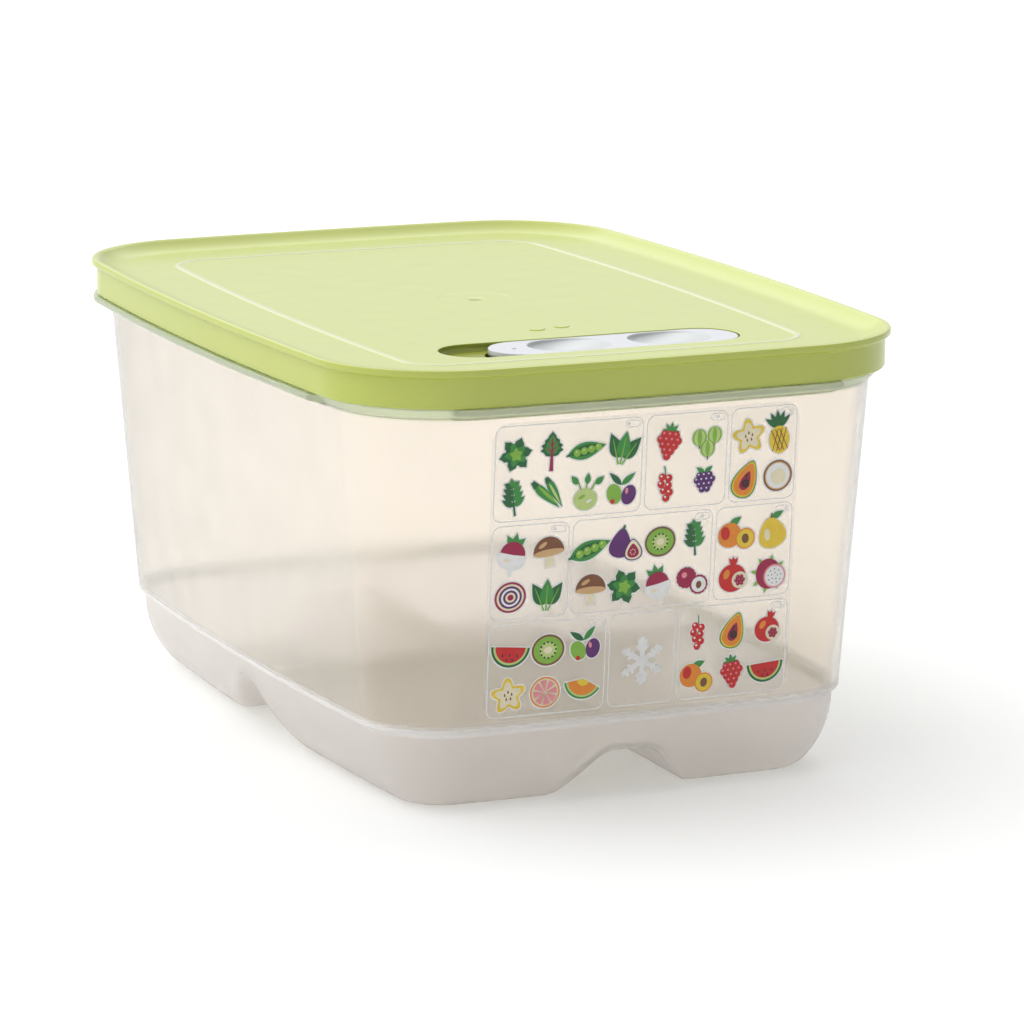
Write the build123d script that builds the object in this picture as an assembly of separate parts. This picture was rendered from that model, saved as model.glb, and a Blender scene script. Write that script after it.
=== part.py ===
from build123d import *
from math import asin, cos, degrees, hypot, pi, radians, sin, sqrt
import os

# A stackable keeper for fruit and vegetables: a clear container with a frosted foot tray, a lid
# with a skirt and a rolled lip, a slider that opens and closes two air holes in the lid, and a
# chart on the front wall. Millimetres, +Z up, origin on the floor under the middle.
# X is the short side, Y the long side, and the chart and the vent are at the -Y end.

# Overall size of the closed keeper
width = 192.0
length = 274.0
height = 137.0

# Plan outline, measured on the lid lip
corner_radius = 41.0
side_bow = 3.0
end_bow = 0.8
least_radius = 3.0

# Fits between pieces that move
fit_gap = 0.3
rim_gap = 0.4

# Container wall and base
wall = 1.8
base_wall = 2.0
tray_inset = 16.3
tray_height = 23.2
tray_side_radius = 31.0
ledge_width = 2.0
wall_top_inset = 6.5
arc_steps = 8

# Rim that stands inside the lid skirt
rim_head_gap = 0.5
rim_chamfer = 0.5
rim_flare = 3.1

# Finger grips under the skirt: one round the back and both sides, one on the front
grip_inset = 0.5
grip_depth = 3.6
grip_edge = 1.8
side_grip_start = 45.0
front_grip_margin = 34.0
grip_end_slant = 6.0

# Channels under the base, one along Y and one along X, which leave four feet
long_channel_base = 44.0
long_channel_top = 17.0
long_channel_height = 14.8
cross_channel_base = 57.0
cross_channel_top = 13.0
cross_channel_height = 18.6
channel_crown_radius = 7.0
channel_toe_radius = 5.0

# Drainage ribs on the inside floor
rib_height = 1.6
rib_width = 2.0
rib_pitch = 13.0
rib_clear_of_channel = 7.0
rib_clear_of_end = 4.0

# Lid skin, lip and skirt
lip_radius = 1.4
lip_steps = 10
lip_start_angle = -60.0
lip_neck = 0.4
crest_flat = 0.9
cove_inset = 11.0
cove_steps = 5
panel_drop = 3.3
panel_wall = 1.6
skirt_inset = 1.7
skirt_wall = 1.7
skirt_drop = 11.8
skirt_toe = 0.6

# Channel roof over the rim, and the seal ring that stands inside the rim
roof_rise = 1.0
roof_foot_inset = 8.5
roof_inset = 5.4
seal_ring_wall = 1.4
seal_ring_depth = 3.5
seal_ring_lead = 0.4

# Marks on the lid panel
ridge_inset = 28.2
ridge_width = 1.8
ridge_rise = 0.5
ridge_draft = 0.2
gate_disc_radius = 12.0
gate_disc_depth = 0.2
gate_radius = 3.6
gate_depth = 0.6
gate_pip_radius = 1.1
gate_pip_rise = 0.35

# Vent well in the lid
well_length = 97.7
well_width = 24.0
well_depth = 2.5
well_from_front = 49.0
well_floor_wall = 1.4
well_side_wall = 1.4
groove_depth = 1.0
vent_hole_diameter = 3.6
vent_hole_pitch = 4.6
vent_hole_web = 1.2
vent_hole_offset = 3.5

# Vent slider
slider_end_gap = 0.5
slider_travel = 11.5
slider_left_room = 4.2
slider_sink = 0.2
slider_edge_chamfer = 0.5
tongue_depth = 0.7
tongue_length = 34.0
scoop_pad = 11.4
scoop_edge = 1.5
scoop_depth = 3.0
scoop_rib = 7.2
scoop_run = 4.5
scoop_steps = 5
belly_wall = 1.2
pip_radius = 0.9
pip_rise = 0.3
pip_from_end = 7.3

# Chart film on the front wall
chart_side_margin = 46.0
chart_foot_margin = 3.3
chart_head_margin = 1.8
chart_corner_radius = 5.0
chart_film = 0.2

# Heights and levels that follow from the sizes above
skirt_bottom = height - skirt_drop
grip_top = skirt_bottom - fit_gap
wall_top = grip_top - grip_depth
panel_top = height - panel_drop
panel_under = panel_top - panel_wall
rim_top = panel_under - rim_head_gap
channel_roof = panel_under + roof_rise
crest_inset = lip_radius + crest_flat
rim_inset = skirt_inset + skirt_wall + rim_gap
ledge_top = tray_height + ledge_width
ledge_inset = tray_inset - ledge_width
well_y = -length / 2 + well_from_front
well_floor = panel_top - well_depth
slider_top = panel_top - slider_sink
slider_bottom = well_floor + fit_gap
slider_width = well_width - 2 * fit_gap
slider_length = well_length - slider_travel - slider_left_room - 2 * slider_end_gap
slider_x = well_length / 2 - slider_end_gap - slider_length / 2
slider_left = slider_x - slider_length / 2
scoop_length = (slider_length - scoop_rib) / 2 - scoop_pad
scoop_width = slider_width - 2 * scoop_edge
scoop_pitch = scoop_length + scoop_rib
belly_bottom = slider_top - scoop_depth - belly_wall
trough_floor = belly_bottom - fit_gap
chart_bottom = ledge_top + chart_foot_margin
chart_height = wall_top - chart_head_margin - chart_bottom
chart_width = width - 2 * chart_side_margin

# Margins that only make a cut pass right through
through = 2.0
overlap = 0.4


# Closed plan outline at a distance inside the lid lip: eight tangent arcs, with bowed sides
def outline(inset, z):
    radius = max(corner_radius - inset, least_radius)
    half_x = width / 2 - inset - radius
    half_y = length / 2 - inset - radius
    corner_x = half_x - side_bow
    corner_y = half_y - end_bow
    side_radius = (corner_y ** 2 + side_bow ** 2) / (2 * side_bow)
    end_radius = (corner_x ** 2 + end_bow ** 2) / (2 * end_bow)
    side_angle = degrees(asin(corner_y / side_radius))
    end_angle = degrees(asin(corner_x / end_radius))
    turn = 90 - side_angle - end_angle
    side_x = half_x - side_radius
    end_y = half_y - end_radius
    arcs = [
        CenterArc((side_x, 0), side_radius + radius, -side_angle, 2 * side_angle),
        CenterArc((corner_x, corner_y), radius, side_angle, turn),
        CenterArc((0, end_y), end_radius + radius, 90 - end_angle, 2 * end_angle),
        CenterArc((-corner_x, corner_y), radius, 90 + end_angle, turn),
        CenterArc((-side_x, 0), side_radius + radius, 180 - side_angle, 2 * side_angle),
        CenterArc((-corner_x, -corner_y), radius, 180 + side_angle, turn),
        CenterArc((0, -end_y), end_radius + radius, 270 - end_angle, 2 * end_angle),
        CenterArc((corner_x, -corner_y), radius, 270 + end_angle, turn),
    ]
    return Wire(arcs).moved(Location((0, 0, z)))


# Solid whose side follows a list of (inset, z) from the bottom up
def stack(profile):
    return Solid.make_loft([outline(inset, z) for inset, z in profile], ruled=True)


# Ring between two profiles
def ring(outer_profile, inner_profile):
    return stack(outer_profile) - stack(inner_profile)


# Prism with round ends along X
def slot_prism(slot_length, slot_width, x, y, bottom, top):
    face = Pos(x, y, bottom) * SlotOverall(slot_length, slot_width)
    return extrude(face, amount=top - bottom)


# Outside of the foot tray: an arc that starts upright at the ledge and turns in to the floor
def tray_arc(radius, bottom, first_top):
    centre_inset = tray_inset + tray_side_radius
    start = asin((tray_height - bottom) / radius)
    points = []
    for step in range(arc_steps + 1):
        angle = start * (1 - step / arc_steps)
        points.append((centre_inset - radius * cos(angle), tray_height - radius * sin(angle)))
    points[-1] = (points[-1][0], first_top)
    return points


# Cross-section of a channel under the base, grown outwards by the base wall for the inside hump
def channel_section(base, top, channel_height, grow):
    half_base = base / 2
    half_top = top / 2
    side = hypot(channel_height, half_base - half_top)
    lean = (half_base - half_top) / channel_height
    grown_base = half_base + grow * side / channel_height
    grown_height = channel_height + grow
    grown_top = grown_base - grown_height * lean
    apron = grown_base + 4 * channel_toe_radius
    corners = [
        (-apron, -through),
        (-apron, 0),
        (-grown_base, 0),
        (-grown_top, grown_height),
        (grown_top, grown_height),
        (grown_base, 0),
        (apron, 0),
        (apron, -through),
    ]
    face = make_face(Polyline(*corners, close=True))
    crown = face.vertices().filter_by(lambda v: abs(v.Y - grown_height) < 1e-6)
    face = fillet(crown, channel_crown_radius + grow)
    toes = face.vertices().filter_by(lambda v: abs(abs(v.X) - grown_base) < 1e-6 and abs(v.Y) < 1e-6)
    return fillet(toes, channel_toe_radius)


def channel_solid(base, top, channel_height, grow, along_x):
    face = channel_section(base, top, channel_height, grow)
    reach = length / 2 + through
    solid = extrude(Plane.XZ * face, amount=reach, both=True)
    if along_x:
        solid = Rot(0, 0, 90) * solid
    return solid


def both_channels(grow):
    long_channel = channel_solid(
        long_channel_base, long_channel_top, long_channel_height, grow, False)
    cross_channel = channel_solid(
        cross_channel_base, cross_channel_top, cross_channel_height, grow, True)
    return long_channel, cross_channel


# Drainage ribs, across the keeper, between the cross channel and each end
def floor_ribs():
    ribs = []
    top = base_wall + rib_height
    floor_inset = tray_arc(tray_side_radius - wall, base_wall, tray_height)[0][0]
    last = length / 2 - floor_inset - rib_clear_of_end
    y = cross_channel_base / 2 + rib_clear_of_channel
    while y < last:
        for side in (-1, 1):
            ribs.append(Pos(0, side * y, top / 2) * Box(width, rib_width, top))
        y += rib_pitch
    return ribs


# Finger grips: a slab with a sloping underside, kept only where the grips run
def grips():
    slab = stack([(wall_top_inset, wall_top), (grip_inset, grip_top - grip_edge), (grip_inset, grip_top)])
    front = -length / 2
    half_front = width / 2 - front_grip_margin
    slant = grip_end_slant
    front_area = Polyline(
        (-half_front, front - through),
        (half_front, front - through),
        (half_front + slant, front + side_grip_start / 2),
        (-half_front - slant, front + side_grip_start / 2),
        close=True,
    )
    rear_area = Polyline(
        (-width, front + side_grip_start - slant),
        (-width / 2 + wall_top_inset, front + side_grip_start),
        (width / 2 - wall_top_inset, front + side_grip_start),
        (width, front + side_grip_start - slant),
        (width, length),
        (-width, length),
        close=True,
    )
    front_grip = slab & extrude(make_face(front_area), amount=height)
    rear_grip = slab & extrude(make_face(rear_area), amount=height)
    return front_grip, rear_grip


def container_outside():
    profile = tray_arc(tray_side_radius, 0, tray_height)
    profile += [
        (ledge_inset, ledge_top),
        (wall_top_inset, wall_top),
        (rim_inset, wall_top + rim_flare),
        (rim_inset, rim_top - rim_chamfer),
        (rim_inset + rim_chamfer, rim_top),
    ]
    return stack(profile)


def container_cavity():
    lift = wall * (sqrt(2) - 1)
    profile = tray_arc(tray_side_radius - wall, base_wall, tray_height + lift)
    profile += [
        (ledge_inset + wall, ledge_top + lift),
        (wall_top_inset + wall, wall_top + lift),
        (rim_inset + wall, wall_top + rim_flare + lift),
        (rim_inset + wall, rim_top + through),
    ]
    return stack(profile)


def make_container():
    inside = container_cavity()
    for hump in both_channels(base_wall):
        inside -= hump
    for rib in floor_ribs():
        inside -= rib
    body = container_outside()
    for grip in grips():
        body += grip
    body -= inside
    for channel in both_channels(0):
        body -= channel
    return body


# Lid skin without the vent: skirt, rolled lip, cove and panel
def lid_outside():
    lip = []
    for step in range(lip_steps + 1):
        angle = radians(lip_start_angle + (90 - lip_start_angle) * step / lip_steps)
        lip.append((lip_radius * (1 - cos(angle)), height - lip_radius * (1 - sin(angle))))
    skirt = [
        (skirt_inset + skirt_toe, skirt_bottom),
        (skirt_inset, skirt_bottom + skirt_toe),
        (skirt_inset, lip[0][1] - lip_neck),
    ]
    return stack(skirt + lip)


# Dish over the panel, with a concave cove that rises to the crest of the lip
def lid_dish():
    run = cove_inset - crest_inset
    cove_radius = (run ** 2 + panel_drop ** 2) / (2 * panel_drop)
    sweep = asin(run / cove_radius)
    profile = []
    for step in range(cove_steps + 1):
        angle = sweep * step / cove_steps
        profile.append((cove_inset - cove_radius * sin(angle), panel_top + cove_radius * (1 - cos(angle))))
    profile.append((crest_inset, height + through))
    return stack(profile)


def lid_underside():
    skirt_inner = skirt_inset + skirt_wall
    hollow = stack([(skirt_inner, skirt_bottom - through), (skirt_inner, panel_under)])
    channel = ring(
        [(skirt_inner, panel_under - overlap), (skirt_inner, channel_roof)],
        [(roof_foot_inset + overlap, panel_under - overlap), (roof_inset, channel_roof)],
    )
    return hollow, channel


def seal_ring():
    outer = rim_inset + wall + rim_gap
    inner = outer + seal_ring_wall
    bottom = panel_under - seal_ring_depth
    return ring(
        [(outer + seal_ring_lead, bottom), (outer, bottom + seal_ring_lead), (outer, channel_roof)],
        [(inner, bottom - overlap), (inner, channel_roof + overlap)],
    )


def ridge():
    half = ridge_width / 2
    return ring(
        [(ridge_inset - half, panel_top - overlap), (ridge_inset - half, panel_top),
         (ridge_inset - half + ridge_draft, panel_top + ridge_rise)],
        [(ridge_inset + half, panel_top - 2 * overlap), (ridge_inset + half, panel_top),
         (ridge_inset + half - ridge_draft, panel_top + ridge_rise),
         (ridge_inset + half - ridge_draft, panel_top + ridge_rise + overlap)],
    )


# Trough for the slider's belly: the belly's own size, its travel and a gap all round
def trough_margin():
    return fit_gap - scoop_inset_at(slider_top - slider_bottom, belly_wall)


def trough_prism(grow, bottom, top):
    margin = trough_margin() + grow
    trough_length = scoop_pitch + scoop_length + slider_travel + 2 * margin
    trough_width = scoop_width + 2 * margin
    x = slider_x - slider_travel / 2
    return slot_prism(trough_length, trough_width, x, well_y, bottom, top)


def vent_boss():
    grow = groove_depth + well_side_wall
    shelf = slot_prism(
        well_length + 2 * grow, well_width + 2 * grow, 0, well_y, well_floor - well_floor_wall, panel_top)
    pan = trough_prism(well_side_wall, trough_floor - well_floor_wall, well_floor)
    return shelf + pan


def vent_well():
    well = slot_prism(well_length, well_width, 0, well_y, well_floor, panel_top + through)
    groove_length = tongue_length + slider_travel + 2 * fit_gap
    groove_width = well_width + 2 * groove_depth
    groove_top = slider_bottom + tongue_height() + fit_gap
    groove_mid = (well_floor + groove_top) / 2
    groove = Pos(slider_x - slider_travel / 2, well_y, groove_mid) * Box(groove_length, groove_width, groove_top - well_floor)
    trough = trough_prism(0, trough_floor, well_floor + overlap)
    return well + groove + trough


# Air holes between the trough and the left end: the slider uncovers both, one or none
def vent_holes():
    holes = []
    radius = vent_hole_diameter / 2
    trough_end = slider_left + scoop_pad - slider_travel - trough_margin()
    for step in range(2):
        x = trough_end - vent_hole_web - radius - step * vent_hole_pitch
        spot = Pos(x, well_y - vent_hole_offset, well_floor)
        holes.append(spot * Cylinder(radius, 2 * (well_floor_wall + through)))
    return holes


def gate_mark(body):
    disc = Pos(0, 0, panel_top) * Cylinder(gate_disc_radius, 2 * gate_disc_depth)
    pit = Pos(0, 0, panel_top) * Cylinder(gate_radius, 2 * gate_depth)
    pip_height = gate_pip_rise + overlap
    pip_mid = panel_top - gate_depth - overlap + pip_height / 2
    pip = Pos(0, 0, pip_mid) * Cylinder(gate_pip_radius, pip_height)
    return body - disc - pit + pip


def make_lid():
    body = lid_outside() - lid_dish()
    for cut in lid_underside():
        body -= cut
    body += seal_ring()
    body += ridge()
    body += vent_boss()
    body -= vent_well()
    for hole in vent_holes():
        body -= hole
    return gate_mark(body)


# Height of the slider's edge tongue, which fills the groove less its gaps
def tongue_height():
    return (slider_top - slider_bottom) / 2


# How far a scoop has drawn in at a depth: a quarter ellipse, upright at the edge
def scoop_inset_at(depth, grow):
    share = min(1.0, depth / (scoop_depth + grow))
    return scoop_run * (1 - sqrt(1 - share ** 2)) - grow


# One thumb scoop, grown outwards by the belly wall for the underside
def scoop(x, grow):
    sections = []
    for step in range(scoop_steps + 1):
        depth = (scoop_depth + grow) * sin((pi / 2) * step / scoop_steps)
        inset = scoop_inset_at(depth, grow)
        slot = SlotOverall(scoop_length - 2 * inset, scoop_width - 2 * inset)
        sections.append((Pos(x, well_y, slider_top - depth) * slot).wire())
    return Solid.make_loft(sections, ruled=True)


def make_slider():
    plate = slot_prism(slider_length, slider_width, slider_x, well_y, slider_bottom, slider_top)
    plate = chamfer(plate.faces().sort_by(Axis.Z)[-1].edges(), slider_edge_chamfer)
    tongue_mid = slider_bottom + tongue_height() / 2
    tongue_width = slider_width + 2 * tongue_depth
    plate += Pos(slider_x, well_y, tongue_mid) * Box(tongue_length, tongue_width, tongue_height())
    for side in (-1, 1):
        x = slider_x + side * scoop_pitch / 2
        plate += scoop(x, belly_wall)
    for side in (-1, 1):
        x = slider_x + side * scoop_pitch / 2
        plate -= scoop(x, 0)
        plate -= slot_prism(scoop_length, scoop_width, x, well_y, slider_top, slider_top + through)
    pip_height = pip_rise + overlap
    pip_mid = slider_top + pip_rise - pip_height / 2
    return plate + Pos(slider_left + pip_from_end, well_y, pip_mid) * Cylinder(pip_radius, pip_height)


# Film that follows the outside of the front wall
def make_chart():
    lean = (ledge_inset - wall_top_inset) / (wall_top - ledge_top)
    skin = stack([
        (ledge_inset - chart_film, ledge_top),
        (wall_top_inset - chart_film, wall_top),
    ])
    core = stack([
        (ledge_inset + lean * overlap, ledge_top - overlap),
        (wall_top_inset - lean * overlap, wall_top + overlap),
    ])
    face = Pos(0, chart_bottom + chart_height / 2) * RectangleRounded(
        chart_width, chart_height, chart_corner_radius)
    window = extrude(Plane.XZ * face, amount=length / 2 + through)
    return (skin - core) & window


def write_step(shape, name):
    shape.label = name
    export_step(shape, "parts/" + name + ".step")


os.makedirs("parts", exist_ok=True)
write_step(make_container(), "container")
write_step(make_lid(), "lid")
write_step(make_slider(), "vent_slider")
write_step(make_chart(), "produce_chart_label")
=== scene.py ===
from math import acos, asin, cos, hypot, pi, radians, sin, sqrt, tan

import bmesh
import bpy
import numpy as np
from bpy.props import FloatProperty, FloatVectorProperty, PointerProperty
from mathutils import Matrix, Vector


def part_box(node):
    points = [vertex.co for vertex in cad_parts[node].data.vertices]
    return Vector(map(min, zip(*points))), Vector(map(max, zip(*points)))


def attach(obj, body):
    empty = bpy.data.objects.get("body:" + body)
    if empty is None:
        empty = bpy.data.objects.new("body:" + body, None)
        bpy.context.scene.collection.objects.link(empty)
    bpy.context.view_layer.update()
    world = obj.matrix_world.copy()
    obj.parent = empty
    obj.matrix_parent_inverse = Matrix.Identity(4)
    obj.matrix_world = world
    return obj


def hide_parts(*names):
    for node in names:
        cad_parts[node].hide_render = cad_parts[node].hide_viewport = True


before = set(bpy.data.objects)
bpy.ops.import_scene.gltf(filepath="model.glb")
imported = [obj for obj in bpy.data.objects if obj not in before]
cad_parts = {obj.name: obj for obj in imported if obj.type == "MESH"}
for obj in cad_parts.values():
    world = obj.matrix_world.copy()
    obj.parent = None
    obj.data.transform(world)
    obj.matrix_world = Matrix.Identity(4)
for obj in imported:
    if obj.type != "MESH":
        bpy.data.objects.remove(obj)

bl_info = {
    "name": "Produce Keeper",
    "version": (1, 0, 0),
    "blender": (4, 5, 0),
    "location": "3D View > Sidebar > Keeper",
    "description": "Builds a clear produce keeper with a skirted lid, a sliding vent and a chart",
    "category": "Add Mesh",
}

MM = 0.001
LID_LOW, LID_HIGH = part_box("lid")
SLIDER_LOW, SLIDER_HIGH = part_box("vent_slider")
CHART_LOW, CHART_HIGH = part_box("produce_chart_label")
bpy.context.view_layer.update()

# Profile corners: how much of a run a turn may take, and the flat supports beside it
TURN_SHARE = 0.42
SUPPORT = 0.35 * MM
SUPPORT_SHARE = 0.05

# Plan outline: smallest corner radius, stations along the straight sides, and steps in the corners
LEAST_RADIUS = 3.0 * MM
SIDE_REACH = 90.0 * MM
END_REACH = 46.0 * MM
SIDE_GRID = np.arange(0, 34.0, 1.7) * MM
END_GRID = np.concatenate((np.arange(0, 27.0, 1.5), np.arange(28.0, 46.0, 4.5))) * MM
CORNER_STEPS = 56
FINE_CORNER_STEPS = 120
FINE_RUN_STEPS = 8
INNER_INSET = 42.0 * MM

# Container
BASE_WALL = 2.0 * MM
TRAY_INSET = 16.3 * MM
TRAY_RADIUS = 31.0 * MM
TRAY_TOP = 23.2 * MM
LEDGE_WIDTH = 2.0 * MM
WALL_TOP_INSET = 6.5 * MM
WALL_TOP = 121.3 * MM
RIM_INSET = 3.8 * MM
RIM_TOP = 131.6 * MM
GRIP_INSET = 0.5 * MM
GRIP_TOP = 124.9 * MM
GRIP_EDGE = 1.8 * MM
FRONT_GRIP_HALF = 62.4 * MM
REAR_GRIP_START = 92.2 * MM
GRIP_END = 1.2 * MM
GRIP_ROOT = 0.03
OUTER_TRAY_ROWS = 44
INNER_TRAY_ROWS = 34
OUTER_SMOOTHING = 6
INNER_SMOOTHING = 3

# Channels under the base, as half widths and height, with how far their edges blend
LONG_CHANNEL = (22.0 * MM, 8.5 * MM, 14.8 * MM)
CROSS_CHANNEL = (28.5 * MM, 6.5 * MM, 18.6 * MM)
CROWN_BLEND = 4.6 * MM
TOE_BLEND = 2.4 * MM

# Drainage ribs on the inside floor
RIB_FIRST = 35.5 * MM
RIB_PITCH = 13.0 * MM
RIB_COUNT = 6
RIB_HALF = 1.0 * MM
RIB_HEIGHT = 1.6 * MM
RIB_ROUNDING = (0.7 * RIB_HALF, 1.5 * RIB_HALF)
RIB_FADE = (38.0 * MM, 45.0 * MM)

# Stations at each rib, in half ribs, and between two, in shares of the pitch
RIB_STATIONS = (-1.5, -1.1, -0.7, 0, 0.7, 1.1, 1.5)
GAP_STATIONS = (0.35, 0.65)

# Lid
SKIRT_INSET = 1.7 * MM
SKIRT_WALL = 1.7 * MM
SKIRT_TOE = 0.6 * MM
SKIRT_BOTTOM = LID_HIGH.z - 11.8 * MM
LIP_HEIGHT = 2.9 * MM
LIP_CREST = 1.9 * MM
COVE_INSET = 11.0 * MM
PANEL_TOP = LID_HIGH.z - 3.3 * MM
PANEL_UNDER = PANEL_TOP - 1.6 * MM
CHANNEL_ROOF = PANEL_UNDER + 1.0 * MM
ROOF_INSET = 5.4 * MM
ROOF_FOOT_INSET = 8.5 * MM
SEAL_OUTER = 6.0 * MM
SEAL_INNER = 7.4 * MM
SEAL_BOTTOM = PANEL_UNDER - 3.5 * MM
RIDGE_INSET = 28.2 * MM
RIDGE_HALF = 1.0 * MM
RIDGE_RISE = 0.20 * MM
PANEL_FILL_INSET = 33.0 * MM

# Rows of faces that have another tone (a painted highlight on the ridge, painted shade in the well
# and gate pit), or that stand before those
RIDGE_GAPS = 24
WELL_LIP_ROWS = 5
GATE_PIT_ROWS = 5

# Gate mark in the middle of the lid, as radius and depth
GATE_DISC = (12.0 * MM, 0.10 * MM)
GATE_PIT = (3.6 * MM, 0.6 * MM)

# Vent: each slot is its middle along X, its length and its width
FIT_GAP = 0.3 * MM
WELL_Y = (SLIDER_LOW.y + SLIDER_HIGH.y) / 2
WELL = (0.0, 97.7 * MM, 24.0 * MM)
WELL_FLOOR = PANEL_TOP - 2.5 * MM
WELL_WALL = 1.4 * MM
GROOVE_DEPTH = 1.0 * MM
GROOVE_SPAN = (-20.95 * MM, 25.15 * MM)
GROOVE_TOP = WELL_FLOOR + 1.6 * MM
TROUGH = (2.1 * MM, 71.6 * MM, 22.3 * MM)
TROUGH_FLOOR = PANEL_TOP - 4.7 * MM
SHELF_UNDER = WELL_FLOOR - WELL_WALL
PAN_UNDER = TROUGH_FLOOR - WELL_WALL
HOLE_RADIUS = 1.8 * MM
HOLE_PLACES = ((-36.7 * MM, WELL_Y - 3.5 * MM), (-41.3 * MM, WELL_Y - 3.5 * MM))

# Stations on the sides of a slot that has neither groove nor tongue
NO_NOTCH = (-1.0 * MM, 1.0 * MM)

# Vent slider
SLIDER_TOP = PANEL_TOP - 0.2 * MM
SLIDER_BOTTOM = WELL_FLOOR + FIT_GAP
SLIDER_LENGTH = SLIDER_HIGH.x - SLIDER_LOW.x
SLIDER_X = (SLIDER_LOW.x + SLIDER_HIGH.x) / 2
SLIDER = (SLIDER_X, SLIDER_LENGTH, WELL[2] - 2 * FIT_GAP)
TONGUE_DEPTH = 0.7 * MM
TONGUE_SPAN = (-17.0 * MM, 17.0 * MM)
TONGUE_TOP = SLIDER_BOTTOM + 1.0 * MM
SCOOP_LENGTH = 25.5 * MM
SCOOP_WIDTH = 20.4 * MM
SCOOP_DEPTH = 2.7 * MM
SCOOP_RUN = 4.5 * MM
SCOOP_PITCH = 33.2 * MM
SCOOP_SHIFT = 1.5 * MM
SCOOP_DEEPEST = 0.30
SCOOP_RAMP = 0.85
BELLY_WALL = 1.2 * MM
PIP_RADIUS = 0.9 * MM
PIP_RISE = 0.3 * MM
PIP_FROM_END = 7.3 * MM

# Rows of a scoop, as shares of the way out from its deepest place
SCOOP_SHARES = (
    1.03, 1.0, 0.985, 0.96, 0.93, 0.89, 0.84, 0.78, 0.7, 0.6, 0.5, 0.4, 0.3, 0.2, 0.1)

# Chart: a clear film, and printed layers that each stand a hair in front of the last
FILM_LIFT = 0.04 * MM
FILM_THICKNESS = 0.14 * MM
FILM_CORNER = 5.0 * MM
FILM_CORNER_END = 0.2 * MM
FILM_COLUMNS = 41
PRINT_LIFT = 0.22 * MM
PRINT_STEP = 0.03 * MM
BORDER_SHARE = 0.03
STICKER_BORDER = 0.42 * MM

# Arc marks on the panel behind the vent, as the middle of each arc's circle
ARC_RADIUS = 2.9 * MM
ARC_SPAN = radians(120)
ARC_WIDTH = 1.2 * MM
ARC_RISE = 0.22 * MM
ARC_MARKS = ((-5.5 * MM, -59.4 * MM), (3.5 * MM, -57.4 * MM))

# Unevenness of all finishes: noise detail, the span of noise that is used, and grain depth
NOISE_DETAIL = 3.0
NOISE_SPAN = (0.3, 0.7)
GRAIN_DEPTH = 0.01 * MM

# Clear plastic: heights between which one zone gives way to the next; the rim zone also carries a
# painted green cast from the lid's light, and the ledge zone a painted highlight
FROST_FADE = (TRAY_TOP + 0.6 * MM, TRAY_TOP + 1.2 * MM)
LEDGE_START = (TRAY_TOP - 0.2 * MM, TRAY_TOP + 1.0 * MM)
LEDGE_END = (TRAY_TOP + 2.4 * MM, TRAY_TOP + 5.0 * MM)
RIM_START = (WALL_TOP - 1.0 * MM, WALL_TOP + 1.5 * MM)

# Clear plastic: mottle, the painted shade that darkens it where it is seen edge on, and the
# painted highlight on the ledge
CLEAR_MOTTLE = 28.0
CLEAR_SHADES = (0.985, 1.01)
FROSTED_SHADES = (0.975, 1.02)
EDGE_SHADE_POWER = 3.8
LEDGE_HIGHLIGHT = (1.0, 0.985, 0.975)

# Clear plastic: what the wall has, and how much of it foot tray, rim and ledge lose or gain
CLEARNESS = 0.95
CLEARNESS_LOSS = (0.16, 0.26, 0.50)
CLEAR_PATCHES = (60.0, 0.08, 0.13)
ROUGHNESS_GAIN = (0.38, 0.22, 0.25)
SHADOW_SHARE = 0.92
SHADOW_LOSS = 0.12
CLEAR_IOR = 1.49
CLEAR_GRAIN = (700.0, 0.03)

# Other finishes: mottle and its shades, gloss patches, and the grain's scale and strength
LIME_FINISH = (45.0, (0.98, 1.02), 90.0, (1300.0, 0.05))
LIME_IOR = 1.52
LIME_GLOSS_RANGE = 0.03
LIME_ROUGHNESS = 0.22
WHITE_FINISH = (35.0, (0.985, 1.01), 120.0, (900.0, 0.04))
WHITE_ROUGHNESS = (0.20, 0.28)
INK_FINISH = (420.0, (0.86, 1.14), 300.0, (2200.0, 0.08))
INK_ROUGHNESS = (0.38, 0.52)
FILM_MOTTLE = 90.0
FILM_COLOURS = ((0.90, 0.90, 0.89), (0.95, 0.95, 0.94))
FILM_PATCHES = (60.0, 0.14, 0.22)
FILM_ALPHA = 0.07

# Second tones: the ridge has a painted highlight and is smoother, and the well and the scoops have
# painted shade
RIDGE_HIGHLIGHT = (0.7, 0.26)
RIDGE_ROUGHNESS = 0.16
WELL_PAINTED_SHADE = (0.58, 0.58, 0.3)
WELL_ROUGHNESS = 0.30
SCOOP_PAINTED_SHADE = (0.82, 0.84, 0.77)

# Floor, lights and lens
FLOOR_SIZE = 8.0
FLOOR_Z = -0.3 * MM
FLOOR_WHITE = 0.86
FLOOR_LIFT = 0.20
FLOOR_LIFT_THROUGH = 0.10
KEY_FROM = (-0.02, 0.46, 0.88)
KEY_ANGLE = radians(92)
GLOW_FROM = (-0.85, 0.53, 0.0)
GLOW_START = -0.4
GLOW_SHARES = (0.66, 3.8)
SENSOR_WIDTH = 36.0
CLIP_START = 0.05


# Settings a user would change

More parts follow.
